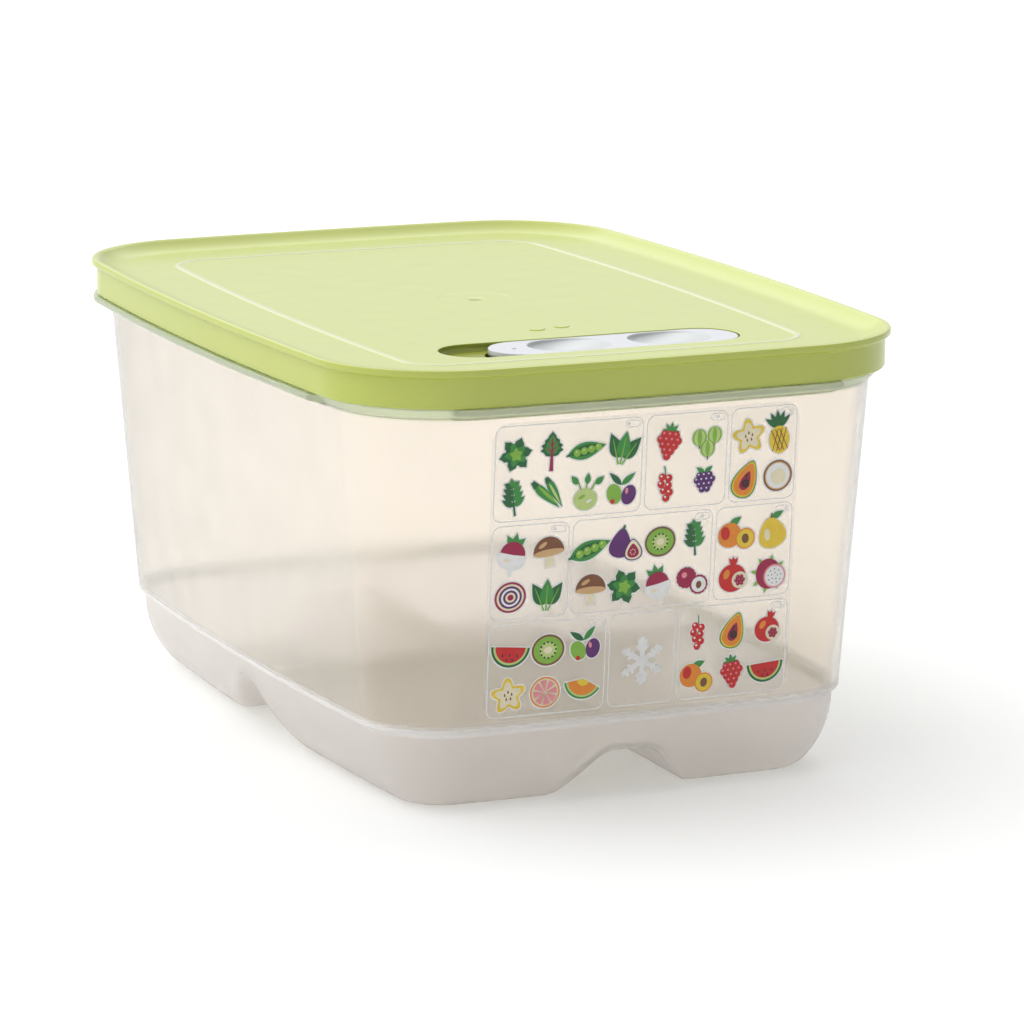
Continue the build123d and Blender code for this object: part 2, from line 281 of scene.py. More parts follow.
class KeeperSizes(bpy.types.PropertyGroup):
    """Sizes of the closed keeper"""

    width: FloatProperty(
        name="Width", description="Across the short side, over the lid", unit="LENGTH",
        default=LID_HIGH.x - LID_LOW.x)
    length: FloatProperty(
        name="Length", description="Along the long side, over the lid", unit="LENGTH",
        default=LID_HIGH.y - LID_LOW.y)
    height: FloatProperty(
        name="Height", description="From the floor to the crest of the lid", unit="LENGTH",
        default=LID_HIGH.z)
    corner_radius: FloatProperty(
        name="Corner radius", description="Plan corners of the lid", unit="LENGTH",
        default=41.0 * MM)
    side_bow: FloatProperty(
        name="Side bow", description="How far the long sides bulge", unit="LENGTH",
        default=3.0 * MM)
    end_bow: FloatProperty(
        name="End bow", description="How far the short ends bulge", unit="LENGTH",
        default=0.8 * MM)
    wall: FloatProperty(
        name="Wall", description="Thickness of the container wall", unit="LENGTH",
        default=1.8 * MM)


def colour_property(name, description, default):
    return FloatVectorProperty(
        name=name, description=description, subtype="COLOR", size=3, min=0, max=1,
        default=default)


class KeeperColours(bpy.types.PropertyGroup):
    """Colours of the plastics"""

    lid: colour_property("Lid", "Satin lime plastic", (0.495, 0.56, 0.105))
    clear: colour_property("Clear wall", "Milky clear plastic", (0.918, 0.870, 0.805))
    frosted: colour_property("Foot tray", "Frosted clear plastic", (1.0, 0.950, 0.930))
    # Rim and grips: the green is a painted cast of the lid's light shining through the plastic
    rim: colour_property("Rim and grips", "Thicker plastic with a green cast", (0.87, 0.96, 0.68))
    # Wall edges: painted shade that darkens the clear wall where it is seen edge on
    edge: colour_property("Wall edges", "Clear plastic seen edge on", (0.12, 0.13, 0.12))
    slider: colour_property("Slider", "Smooth white plastic", (0.62, 0.64, 0.70))


class KeeperStage(bpy.types.PropertyGroup):
    """Camera and lights"""

    azimuth: FloatProperty(
        name="Azimuth", description="Camera turned round from the front", subtype="ANGLE",
        default=radians(-23.69))
    elevation: FloatProperty(
        name="Elevation", description="Camera above the level", subtype="ANGLE",
        default=radians(11.82))
    roll: FloatProperty(
        name="Roll", description="Camera turned about its own axis", subtype="ANGLE",
        default=radians(0.16))
    tip: FloatProperty(
        name="Tip", description="Camera tipped up to set the keeper low in the picture",
        subtype="ANGLE", default=radians(0.0717))
    place: FloatVectorProperty(
        name="Place", description="Where the camera stands", subtype="TRANSLATION", size=3,
        default=(-0.61938, -1.44121, 0.39089))
    lens: FloatProperty(
        name="Lens", description="Focal length of the camera", unit="CAMERA", default=176.17)
    key: FloatProperty(
        name="Key light", description="Strength of the soft key light", default=1.72)
    surround: FloatProperty(
        name="Surround", description="Strength of the even light all round", default=0.39)


def sizes():
    return bpy.context.scene.keeper_sizes


def colours():
    return bpy.context.scene.keeper_colours


def show(piece):
    """Puts an object into the scene."""
    bpy.context.scene.collection.objects.link(piece)


# Plan outline

def arc(centre, radius, start, end, steps):
    turns = np.linspace(start, end, steps + 1)
    x, y = centre
    return np.column_stack((x + radius * np.cos(turns), y + radius * np.sin(turns)))


def side_stations():
    """Places along a long side, from its middle to the corner, close together at the ribs."""
    places = list(SIDE_GRID)
    for rib in range(RIB_COUNT - 1):
        middle = RIB_FIRST + rib * RIB_PITCH
        places += [middle + offset * RIB_HALF for offset in RIB_STATIONS]
        places += [middle + RIB_PITCH * share for share in GAP_STATIONS]
    return np.array([place for place in places if place < SIDE_REACH] + [SIDE_REACH])


# Places along a quarter's long side, from its middle, and along its short end, to its middle
SIDE_PLACES = side_stations()
END_PLACES = np.append(END_GRID, END_REACH)[::-1]


def quarter(inset):
    """Points of one quarter, from the middle of the +X side to the middle of the +Y end."""
    s = sizes()
    radius = max(s.corner_radius - inset, LEAST_RADIUS)
    half_x = s.width / 2 - inset - radius
    half_y = s.length / 2 - inset - radius
    corner_x = half_x - s.side_bow
    corner_y = half_y - s.end_bow
    side_radius = (corner_y ** 2 + s.side_bow ** 2) / (2 * s.side_bow)
    end_radius = (corner_x ** 2 + s.end_bow ** 2) / (2 * s.end_bow)
    side_angle = asin(corner_y / side_radius)
    end_angle = asin(corner_x / end_radius)
    side_x = half_x - side_radius
    end_y = half_y - end_radius
    side_radius += radius
    end_radius += radius
    side = np.column_stack((
        side_x + np.sqrt(side_radius ** 2 - SIDE_PLACES ** 2), SIDE_PLACES))
    end = np.column_stack((
        END_PLACES, end_y + np.sqrt(end_radius ** 2 - END_PLACES ** 2)))
    corner_end = pi / 2 - end_angle
    fine = np.vstack((
        arc((side_x, 0), side_radius, asin(SIDE_REACH / side_radius), side_angle, FINE_RUN_STEPS),
        arc((corner_x, corner_y), radius, side_angle, corner_end, FINE_CORNER_STEPS),
        arc((0, end_y), end_radius, corner_end, acos(END_REACH / end_radius), FINE_RUN_STEPS),
    ))
    run = np.concatenate(([0], np.cumsum(np.hypot(*np.diff(fine, axis=0).T))))
    stops = np.linspace(0, run[-1], CORNER_STEPS + 1)[1:-1]
    corner = np.column_stack([np.interp(stops, run, fine[:, k]) for k in range(2)])
    return np.vstack((side, corner, end))


def all_round(points):
    """A closed loop from one quarter of it."""
    back = points[::-1]
    return np.vstack((
        points[:-1], (back * (-1, 1))[:-1], (-points)[:-1], (back * (1, -1))[:-1]))


def outline(inset, z):
    """One closed row of the plan outline at an inset and a height."""
    row = all_round(quarter(inset))
    return np.column_stack((row, np.full(len(row), z)))


def rounded(corners, steps=4):
    """Profile points with each inner corner (x, z, radius) turned smoothly."""
    points = [corners[0][:2]]
    for before, corner, after in zip(corners, corners[1:], corners[2:]):
        here = Vector(corner[:2])
        if len(corner) < 3:
            points.append(tuple(here))
            continue
        back = Vector(before[:2]) - here
        onward = Vector(after[:2]) - here
        reach = corner[2] * tan((pi - back.angle(onward)) / 2)
        reach = min(reach, TURN_SHARE * back.length, TURN_SHARE * onward.length)
        start = here + back.normalized() * reach
        end = here + onward.normalized() * reach
        support = min(SUPPORT, SUPPORT_SHARE * back.length)
        points.append(tuple(start + back.normalized() * support))
        for step in range(steps + 1):
            share = step / steps
            points.append(tuple(start.lerp(here, share).lerp(here.lerp(end, share), share)))
        support = min(SUPPORT, SUPPORT_SHARE * onward.length)
        points.append(tuple(end + onward.normalized() * support))
    points.append(corners[-1][:2])
    return points


# Mesh helpers

def add_row(bm, points):
    return [bm.verts.new(point) for point in points]


def join_rows(bm, low, high):
    for here in range(len(low)):
        after = (here + 1) % len(low)
        bm.faces.new((low[here], low[after], high[after], high[here]))


def skin(bm, rows):
    """Quads between closed rows; gives the first and the last row."""
    made = [add_row(bm, row) for row in rows]
    for low, high in zip(made, made[1:]):
        join_rows(bm, low, high)
    return made[0], made[-1]


def loop_edges(bm, row):
    edges = []
    for here in range(len(row)):
        pair = (row[here], row[(here + 1) % len(row)])
        edges.append(bm.edges.get(pair) or bm.edges.new(pair))
    return edges


def fill_flat(bm, rows):
    """Fills a level face between an outer row and the rows of the holes in it."""
    edges = [edge for row in rows for edge in loop_edges(bm, row)]
    bmesh.ops.triangle_fill(
        bm, use_beauty=True, use_dissolve=False, edges=edges, normal=(0, 0, 1))


def tone_faces(bm, tone, first, last=None):
    """Gives a run of faces one of the piece's further materials."""
    bm.faces.ensure_lookup_table()
    for face in bm.faces[first:last]:
        face.material_index = tone


def finish_piece(bm, name, body, slot, *materials):
    """Turns the mesh into an object that rides on a body."""
    bmesh.ops.recalc_face_normals(bm, faces=bm.faces)
    mesh = bpy.data.meshes.new(name)
    bm.to_mesh(mesh)
    bm.free()
    mesh.shade_smooth()
    for material in materials:
        mesh.materials.append(material)
    piece = bpy.data.objects.new(name, mesh)
    show(piece)
    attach(piece, body)
    return piece


def soft_max(a, b, blend):
    """The larger of two, with a smooth join where they are within a blend of each other."""
    near = np.clip(blend - np.abs(a - b), 0, None) / blend
    return np.maximum(a, b) + near * near * blend / 4


def step_up(value, start, end):
    """From 0 to 1 between two values, smoothly."""
    share = np.clip((value - start) / (end - start), 0, 1)
    return share * share * (3 - 2 * share)


def channel_roof(offset, channel, grow):
    """Height of a channel's void, or of the hump over it when grown by the base wall."""
    half_base, half_top, height = channel
    lean = (half_base - half_top) / height
    side = hypot(height, half_base - half_top)
    grown_base = half_base + grow * side / height
    slope = (grown_base - np.abs(offset)) / lean
    return -soft_max(-slope, np.full_like(slope, -height - grow), CROWN_BLEND)


def over_channels(points, floor, grow):
    """Raises points of the base onto the channels."""
    x, y, z = points[..., 0], points[..., 1], points[..., 2]
    z = soft_max(z, np.full_like(z, floor), TOE_BLEND)
    z = soft_max(z, channel_roof(x, LONG_CHANNEL, grow), TOE_BLEND)
    z = soft_max(z, channel_roof(y, CROSS_CHANNEL, grow), TOE_BLEND)
    return np.stack((x, y, z), axis=-1)


def with_ribs(points):
    """Adds the drainage ribs to the inside floor."""
    x, y, z = points[..., 0], np.abs(points[..., 1]), points[..., 2]
    top = np.full_like(z, -1.0)
    for rib in range(RIB_COUNT):
        away = np.abs(y - RIB_FIRST - rib * RIB_PITCH)
        rise = BASE_WALL + RIB_HEIGHT * (1 - step_up(away, *RIB_ROUNDING))
        if rib == RIB_COUNT - 1:
            rise = BASE_WALL + (rise - BASE_WALL) * (1 - step_up(np.abs(x), *RIB_FADE))
        top = np.maximum(top, rise)
    return np.stack((x, points[..., 1], np.maximum(z, top)), axis=-1)


def smoothed(rows, passes):
    """Rounds a stack of rows across the rows, with the first and last held."""
    for _ in range(passes):
        rows[1:-1] = (rows[:-2] + 2 * rows[1:-1] + rows[2:]) / 4
    return rows


def tray_rows(radius, top, count):
    """Rows of the foot tray's side, from upright at the ledge to level under the floor."""
    middle = TRAY_INSET + TRAY_RADIUS
    last = acos((middle - INNER_INSET) / radius)
    rows = []
    for turn in np.linspace(0, last, count + 1):
        rows.append(outline(middle - radius * cos(turn), top - radius * sin(turn)))
    return np.array(rows)


def base_grid(bm, row, shape):
    """Closes a base inside a row with a grid along the stations, shaped by a function."""
    across = np.unique(np.concatenate((-END_PLACES, END_PLACES)).round(7))
    along = np.unique(np.concatenate((-SIDE_PLACES, SIDE_PLACES)).round(7))
    flat = np.array([[(x, y, 0.0) for y in along] for x in across])
    grid = [add_row(bm, line) for line in shape(flat)]
    for i in range(len(across) - 1):
        for j in range(len(along) - 1):
            bm.faces.new((
                grid[i][j], grid[i + 1][j], grid[i + 1][j + 1], grid[i][j + 1]))
    corner = np.tile((END_REACH, SIDE_REACH), (CORNER_STEPS - 1, 1))
    side = np.column_stack((np.full(len(SIDE_PLACES), END_REACH), SIDE_PLACES))
    end = np.column_stack((END_PLACES, np.full(len(END_PLACES), SIDE_REACH)))
    partners = []
    for x, y in all_round(np.vstack((side, corner, end))):
        i = int(np.argmin(np.abs(across - x)))
        j = int(np.argmin(np.abs(along - y)))
        partners.append(grid[i][j])
    for here in range(len(row)):
        after = (here + 1) % len(row)
        if partners[here] is partners[after]:
            bm.faces.new((row[here], row[after], partners[here]))
        else:
            bm.faces.new((row[here], row[after], partners[after], partners[here]))


def grip_share(row):
    """How much of the finger grip each point of a row has: all at front and rear, none between."""
    x, y = np.abs(row[:, 0]), row[:, 1]
    front = (1 - step_up(x, FRONT_GRIP_HALF - GRIP_END, FRONT_GRIP_HALF)) * (y < -SIDE_REACH)
    rear = step_up(y, -REAR_GRIP_START, -REAR_GRIP_START + GRIP_END)
    return np.maximum(front, rear)[:, None]


def grip_rows():
    """Rows from the top of the wall to the rim, with the grips where they run."""
    ledge_inset, ledge_top = TRAY_INSET - LEDGE_WIDTH, TRAY_TOP + LEDGE_WIDTH
    low = Vector((WALL_TOP_INSET, WALL_TOP)).lerp(Vector((ledge_inset, ledge_top)), GRIP_ROOT)
    plain = rounded([
        tuple(low),
        (WALL_TOP_INSET, WALL_TOP, 0.8 * MM),
        (5.0 * MM, 123.0 * MM, 1.0 * MM),
        (RIM_INSET, GRIP_TOP - 0.4 * MM, 1.0 * MM),
        (RIM_INSET, GRIP_TOP + 0.2 * MM, 0.3 * MM),
        (RIM_INSET, GRIP_TOP + 0.6 * MM),
    ])
    grip = rounded([
        tuple(low),
        (WALL_TOP_INSET, WALL_TOP, 0.8 * MM),
        (GRIP_INSET, GRIP_TOP - GRIP_EDGE, 0.7 * MM),
        (GRIP_INSET, GRIP_TOP, 0.5 * MM),
        (RIM_INSET, GRIP_TOP, 0.4 * MM),
        (RIM_INSET, GRIP_TOP + 0.6 * MM),
    ])
    rows = []
    for (inset, z), (grip_inset, grip_z) in zip(plain, grip):
        row = outline(inset, z)
        rows.append(row + grip_share(row) * (outline(grip_inset, grip_z) - row))
    return rows


def container_mesh():
    """One closed skin: under the base, up the outside, over the rim and down the inside."""
    wall = sizes().wall
    lift = wall * (sqrt(2) - 1)
    bm = bmesh.new()
    outside = over_channels(tray_rows(TRAY_RADIUS, TRAY_TOP, OUTER_TRAY_ROWS)[::-1], 0.0, 0.0)
    outside = smoothed(outside, OUTER_SMOOTHING)
    ledge = rounded([
        (TRAY_INSET, TRAY_TOP),
        (TRAY_INSET, TRAY_TOP + 0.7 * MM, 0.5 * MM),
        (TRAY_INSET - LEDGE_WIDTH, TRAY_TOP + LEDGE_WIDTH, 0.8 * MM),
        (WALL_TOP_INSET, WALL_TOP),
    ])
    wall_rows = [outline(*point) for point in ledge[1:-1]]
    foot, head = Vector(ledge[-2]), Vector(ledge[-1])
    wall_rows += [outline(*foot.lerp(head, share)) for share in (0.25, 0.5, 0.75)]
    rim = rounded([
        (RIM_INSET, GRIP_TOP + 0.7 * MM),
        (RIM_INSET, RIM_TOP, 0.6 * MM),
        (RIM_INSET + wall, RIM_TOP, 0.6 * MM),
        (RIM_INSET + wall, WALL_TOP + 3.1 * MM + lift, 1.5 * MM),
        (WALL_TOP_INSET + wall, WALL_TOP + lift, 2.5 * MM),
        (TRAY_INSET - LEDGE_WIDTH + wall, TRAY_TOP + LEDGE_WIDTH + lift, 2.0 * MM),
        (TRAY_INSET + wall, TRAY_TOP + lift, 1.0 * MM),
        (TRAY_INSET + wall + 0.05 * MM, TRAY_TOP + lift - 0.9 * MM),
    ])
    inside = tray_rows(TRAY_RADIUS - wall, TRAY_TOP + lift, INNER_TRAY_ROWS)[2:]
    inside = smoothed(with_ribs(over_channels(inside, BASE_WALL, BASE_WALL)), INNER_SMOOTHING)
    rim_rows = [outline(*point) for point in rim[:-1]]
    rows = list(outside) + wall_rows + grip_rows() + rim_rows + list(inside)
    first, last = skin(bm, rows)
    base_grid(bm, first, lambda flat: over_channels(flat, 0.0, 0.0))
    base_grid(bm, last, lambda flat: with_ribs(over_channels(flat, BASE_WALL, BASE_WALL)))
    return bm


# Loops for the vent and the slider

def slot_row(x, length, width, z, push=0.0, span=NO_NOTCH, steps=14):
    """Closed row with round ends; its sides are pushed out over a span for a groove or tongue."""
    radius = width / 2
    reach = length / 2 - radius
    low, high = span
    straight = [reach, high + 0.05 * MM, high, (low + high) / 2, low, low - 0.05 * MM, -reach]
    points = []
    for sign in (1, -1):
        for turn in np.linspace(-pi / 2, pi / 2, steps + 1)[1:-1]:
            points.append((
                x + sign * (reach + radius * cos(turn)), WELL_Y + sign * radius * sin(turn), z))
        for place in straight[::sign]:
            out = push if low - 0.01 * MM < place < high + 0.01 * MM else 0.0
            points.append((x + place, WELL_Y + sign * (radius + out), z))
    return points


def slot_rows(slot, profile, span=NO_NOTCH):
    """Rows of a slot from a profile of how much it grows, its height and any push of its sides."""
    x, length, width = slot
    return [slot_row(x, length + 2 * grow, width + 2 * grow, z, *push, span=span)
            for grow, z, *push in profile]


def round_row(x, y, radius, z, steps=32):
    turns = np.linspace(0, 2 * pi, steps, endpoint=False)
    return [(x + radius * cos(turn), y + radius * sin(turn), z) for turn in turns]


def round_rows(x, y, profile):
    return [round_row(x, y, radius, z) for radius, z in profile]


# Lid

def lip_profile(height):
    """The rolled lip: out from its neck, up a slim outer face and over the crest."""
    return rounded([
        (SKIRT_INSET, height - LIP_HEIGHT - 0.3 * MM),
        (SKIRT_INSET, height - LIP_HEIGHT, 0.3 * MM),
        (0.0, height - LIP_HEIGHT + 0.9 * MM, 0.8 * MM),
        (0.15 * MM, height - 0.1 * MM, 0.6 * MM),
        (LIP_CREST, height),
    ])


def cove_profile(height):
    """Down from the crest to the panel in one hollow curve that ends level."""
    run, drop = COVE_INSET - LIP_CREST, height - PANEL_TOP
    radius = (run ** 2 + drop ** 2) / (2 * drop)
    points = []
    for turn in np.linspace(asin(run / radius), 0, 10):
        points.append((COVE_INSET - radius * sin(turn), PANEL_TOP + radius * (1 - cos(turn))))
    return points


def lid_outside(height):
    """Profile from the skirt's foot over the lip and the ridge to the flat of the panel."""
    lip = lip_profile(height)
    skirt = rounded([
        (SKIRT_INSET + SKIRT_WALL, SKIRT_BOTTOM),
        (SKIRT_INSET, SKIRT_BOTTOM, SKIRT_TOE),
        lip[0],
    ])
    ridge_in, ridge_out = RIDGE_INSET + RIDGE_HALF, RIDGE_INSET - RIDGE_HALF
    ridge = rounded([
        (COVE_INSET + 1.0 * MM, PANEL_TOP),
        (ridge_out, PANEL_TOP, 0.3 * MM),
        (ridge_out + 0.3 * MM, PANEL_TOP + RIDGE_RISE, 0.3 * MM),
        (ridge_in - 0.3 * MM, PANEL_TOP + RIDGE_RISE, 0.3 * MM),
        (ridge_in, PANEL_TOP, 0.3 * MM),
        (PANEL_FILL_INSET, PANEL_TOP),
    ])
    return skirt + lip[1:] + cove_profile(height)[1:] + ridge


def lid_inside():
    """Profile from the skirt's foot up the inside, round the seal ring and under the panel."""
    skirt_inner = SKIRT_INSET + SKIRT_WALL
    slope = (CHANNEL_ROOF - PANEL_UNDER) / (ROOF_FOOT_INSET - ROOF_INSET)
    return rounded([
        (skirt_inner, SKIRT_BOTTOM + 0.1 * MM),
        (skirt_inner, CHANNEL_ROOF, 0.5 * MM),
        (ROOF_INSET, CHANNEL_ROOF, 0.3 * MM),
        (SEAL_OUTER, CHANNEL_ROOF - slope * (SEAL_OUTER - ROOF_INSET), 0.2 * MM),
        (SEAL_OUTER, SEAL_BOTTOM, 0.4 * MM),
        (SEAL_INNER, SEAL_BOTTOM, 0.4 * MM),
        (SEAL_INNER, CHANNEL_ROOF - slope * (SEAL_INNER - ROOF_INSET), 0.3 * MM),
        (ROOF_FOOT_INSET, PANEL_UNDER, 0.3 * MM),
        (PANEL_FILL_INSET, PANEL_UNDER),
    ])


def gate_mark(bm):
    """Faint disc with a soft dimple where the plastic came in. Gives the panel's end row."""
    disc_radius, disc_depth = GATE_DISC
    pit_radius, pit_depth = GATE_PIT
    disc_z = PANEL_TOP - disc_depth
    profile = rounded([
        (disc_radius + 0.7 * MM, PANEL_TOP),
        (disc_radius + 0.3 * MM, PANEL_TOP, 0.5 * MM),
        (disc_radius - 0.3 * MM, disc_z, 0.5 * MM),
        (1.25 * pit_radius, disc_z),
    ])
    for share in np.linspace(1.2, 0.1, 12):
        dip = max(0.0, cos(share * pi / 2 / 1.2)) ** 2
        profile.append((share * pit_radius, disc_z - (pit_depth - disc_depth) * dip))
    first, last = skin(bm, round_rows(0, 0, profile))
    bm.faces.new(last)
    return first


def vent_well(bm):
    """Well, grooves, trough and air holes. Gives the panel's end row and the holes' lower rows."""
    edge = rounded([
        (0.8 * MM, PANEL_TOP),
        (0, PANEL_TOP, 0.5 * MM),
        (0, GROOVE_TOP + 0.1 * MM),
    ])
    grooves = [
        (0, GROOVE_TOP, GROOVE_DEPTH),
        (0, WELL_FLOOR, GROOVE_DEPTH),
        (-0.25 * MM, WELL_FLOOR),
    ]
    first, floor_edge = skin(bm, slot_rows(WELL, edge + grooves, GROOVE_SPAN))
    trough_first, trough_last = skin(bm, slot_rows(TROUGH, rounded([
        (0.3 * MM, WELL_FLOOR),
        (0, WELL_FLOOR, 0.2 * MM),
        (0, TROUGH_FLOOR, 0.4 * MM),
        (-1.2 * MM, TROUGH_FLOOR),
    ])))
    fill_flat(bm, [trough_last])
    tops, bottoms = [], []
    for x, y in HOLE_PLACES:
        top, bottom = skin(bm, round_rows(x, y, rounded([
            (HOLE_RADIUS + 0.3 * MM, WELL_FLOOR),
            (HOLE_RADIUS, WELL_FLOOR, 0.25 * MM),
            (HOLE_RADIUS, SHELF_UNDER, 0.25 * MM),
            (HOLE_RADIUS + 0.3 * MM, SHELF_UNDER),
        ])))
        tops.append(top)
        bottoms.append(bottom)
    fill_flat(bm, [floor_edge, trough_first] + tops)
    return first, bottoms


def vent_boss(bm, hole_rows):
    """Shelf and pan under the panel that carry the vent. Gives the underside's end row."""
    grow = GROOVE_DEPTH + WELL_WALL
    first, shelf_edge = skin(bm, slot_rows(WELL, rounded([
        (grow + 0.6 * MM, PANEL_UNDER),
        (grow, PANEL_UNDER, 0.3 * MM),
        (grow, SHELF_UNDER, 0.4 * MM),
        (grow - 0.8 * MM, SHELF_UNDER),
    ])))
    pan_first, pan_last = skin(bm, slot_rows(TROUGH, rounded([
        (WELL_WALL + 0.4 * MM, SHELF_UNDER),
        (WELL_WALL, SHELF_UNDER, 0.2 * MM),
        (WELL_WALL, PAN_UNDER, 0.5 * MM),
        (WELL_WALL - 1.0 * MM, PAN_UNDER),
    ])))
    fill_flat(bm, [pan_last])
    fill_flat(bm, [shelf_edge, pan_first] + hole_rows)
    return first


def lid_mesh():
    """Lid with a painted highlight on its ridge and painted shade in its well and gate pit."""
    bm = bmesh.new()
    profile = lid_inside()[::-1] + lid_outside(sizes().height)
    inner, outer = skin(bm, [outline(*point) for point in profile])
    ridge_end = len(bm.faces) - len(outer)
    tone_faces(bm, 1, ridge_end - RIDGE_GAPS * len(outer), ridge_end)
    before = len(bm.faces)
    well, hole_rows = vent_well(bm)
    tone_faces(bm, 2, before + WELL_LIP_ROWS * len(well))
    gate = gate_mark(bm)
    tone_faces(bm, 2, len(bm.faces) - GATE_PIT_ROWS * len(gate) - 1)
    fill_flat(bm, [outer, gate, well])
    fill_flat(bm, [inner, vent_boss(bm, hole_rows)])
    return bm


# Vent slider

def scoop_depth(share, steep):
    """Depth of a scoop at a share of the way out from its deepest place, on a wall or a ramp."""
    wall = sqrt(1 - share ** 3)
    ramp = 1 - share * share * (3 - 2 * share)
    return SCOOP_DEPTH * (steep * wall + (1 - steep) * ramp)


def scoop_rows(x):
    """Rows of one thumb scoop, drawn in towards a place nearer its left end."""
    rim = slot_row(x, SCOOP_LENGTH, SCOOP_WIDTH, SLIDER_TOP, steps=24)
    deepest = x + (SCOOP_DEEPEST - 0.5) * SCOOP_LENGTH
    rows = []
    for share in SCOOP_SHARES:
        row = []
        for place_x, place_y, _ in rim:
            away_x, away_y = place_x - deepest, place_y - WELL_Y
            ramp = max(0.0, away_x / max(hypot(away_x, away_y), MM)) ** 1.5
            depth = scoop_depth(min(share, 1.0), 1.0 - SCOOP_RAMP * ramp)
            row.append((deepest + away_x * share, WELL_Y + away_y * share, SLIDER_TOP - depth))
        rows.append(row)
    return rows


def belly_rows(x):
    """Underside of a scoop: a quarter ellipse outside it, from the plate down."""
    rows = []
    reach = SCOOP_DEPTH + BELLY_WALL
    start = SLIDER_TOP - SLIDER_BOTTOM
    for share in np.linspace(asin(start / reach), pi / 2, 8):
        depth = reach * sin(share)
        inset = SCOOP_RUN * (1 - cos(share)) - BELLY_WALL
        rows.append(slot_row(
            x, SCOOP_LENGTH - 2 * inset, SCOOP_WIDTH - 2 * inset, SLIDER_TOP - depth))
    return rows


def slider_mesh():
    """Slider with its tongues, pip and scoops, which have painted shade."""
    bm = bmesh.new()
    edge = rounded([
        (-0.9 * MM, SLIDER_TOP),
        (0, SLIDER_TOP, 0.9 * MM),
        (0, TONGUE_TOP + 0.1 * MM),
    ], 6)
    tongues = [
        (0, TONGUE_TOP, TONGUE_DEPTH),
        (0, SLIDER_BOTTOM, TONGUE_DEPTH),
        (-0.3 * MM, SLIDER_BOTTOM),
    ]
    top, bottom = skin(bm, slot_rows(SLIDER, edge + tongues, TONGUE_SPAN))
    top_rows, bottom_rows = [top], [bottom]
    for side in (-1, 1):
        x = SLIDER_X + SCOOP_SHIFT + side * SCOOP_PITCH / 2
        before = len(bm.faces)
        first, last = skin(bm, scoop_rows(x))
        bm.faces.new(last)
        tone_faces(bm, 1, before)
        top_rows.append(first)
        first, last = skin(bm, belly_rows(x))
        fill_flat(bm, [last])
        bottom_rows.append(first)
    pip_x = SLIDER_X - SLIDER_LENGTH / 2 + PIP_FROM_END
    first, last = skin(bm, round_rows(pip_x, WELL_Y, rounded([
        (PIP_RADIUS + 0.3 * MM, SLIDER_TOP),
        (PIP_RADIUS, SLIDER_TOP, 0.2 * MM),
        (0.8 * PIP_RADIUS, SLIDER_TOP + PIP_RISE, 0.2 * MM),
        (0.2 * PIP_RADIUS, SLIDER_TOP + PIP_RISE),
    ])))
    bm.faces.new(last)
    top_rows.append(first)
    fill_flat(bm, top_rows)
    fill_flat(bm, bottom_rows)
    return bm


# Chart

def wall_inset(z):
    """Inset of the outside of the wall at a height."""
    low, high = TRAY_TOP + LEDGE_WIDTH, WALL_TOP
    foot = TRAY_INSET - LEDGE_WIDTH
    return foot + (WALL_TOP_INSET - foot) * (z - low) / (high - low)


def on_wall(x, z, lift):
    """Place on the outside of the front wall, a little in front of it."""
    s = sizes()
    inset = wall_inset(z) - lift
    radius = max(s.corner_radius - inset, LEAST_RADIUS)
    half_y = s.length / 2 - inset - radius
    corner_x = s.width / 2 - inset - radius - s.side_bow
    bow = (corner_x ** 2 + s.end_bow ** 2) / (2 * s.end_bow)
    return x, -(half_y - bow + sqrt((bow + radius) ** 2 - x * x)), z


def corner_path(width, height, radius, steps=6):
    """Outline of a rounded rectangle about the origin, as a list of points."""
    path = []
    for corner, (sign_x, sign_y) in enumerate(((1, 1), (-1, 1), (-1, -1), (1, -1))):
        for turn in np.linspace(0, pi / 2, steps + 1) + corner * pi / 2:
            path.append((
                sign_x * (width / 2 - radius) + radius * cos(turn),
                sign_y * (height / 2 - radius) + radius * sin(turn)))
    return path


def film_mesh():
    """Thin clear film with rounded corners that follows the wall."""
    bm = bmesh.new()
    width = CHART_HIGH.x - CHART_LOW.x
    height = CHART_HIGH.z - CHART_LOW.z
    middle = (CHART_LOW.z + CHART_HIGH.z) / 2
    edges = []
    for lift in (FILM_LIFT, FILM_LIFT + FILM_THICKNESS):
        columns = []
        for x in np.linspace(-width / 2, width / 2, FILM_COLUMNS):
            over = max(0.0, abs(x) - (width / 2 - FILM_CORNER))
            turn = sqrt(max(FILM_CORNER ** 2 - over ** 2, FILM_CORNER_END ** 2))
            reach = height / 2 - FILM_CORNER + turn
            columns.append(add_row(bm, [
                on_wall(x, middle + share * reach, lift) for share in (-1, 0, 1)]))
        for left, right in zip(columns, columns[1:]):
            for k in range(2):
                bm.faces.new((left[k], right[k], right[k + 1], left[k + 1]))
        low, high = [c[0] for c in columns], [c[2] for c in columns]
        edges.append(low + columns[-1][1:] + high[-2::-1] + [columns[0][1]])
    join_rows(bm, *edges)
    return bm


# Printed shapes, in millimetres about the middle of each picture

INKS = {
    "white": (0.90, 0.90, 0.88),
    "cream": (0.86, 0.78, 0.56),
    "tan": (0.66, 0.42, 0.20),
    "brown": (0.20, 0.075, 0.03),
    "black": (0.02, 0.02, 0.02),
    "dark_green": (0.012, 0.12, 0.03),
    "green": (0.045, 0.27, 0.05),
    "light_green": (0.24, 0.49, 0.06),
    "pale_green": (0.54, 0.68, 0.24),
    "yellow": (0.84, 0.60, 0.05),
    "orange": (0.82, 0.27, 0.03),
    "red": (0.60, 0.02, 0.02),
    "crimson": (0.34, 0.01, 0.06),
    "pink": (0.82, 0.30, 0.34),
    "purple": (0.11, 0.02, 0.15),
    "frost": (0.62, 0.74, 0.80),
}
LEAF_WAVE = 0.13


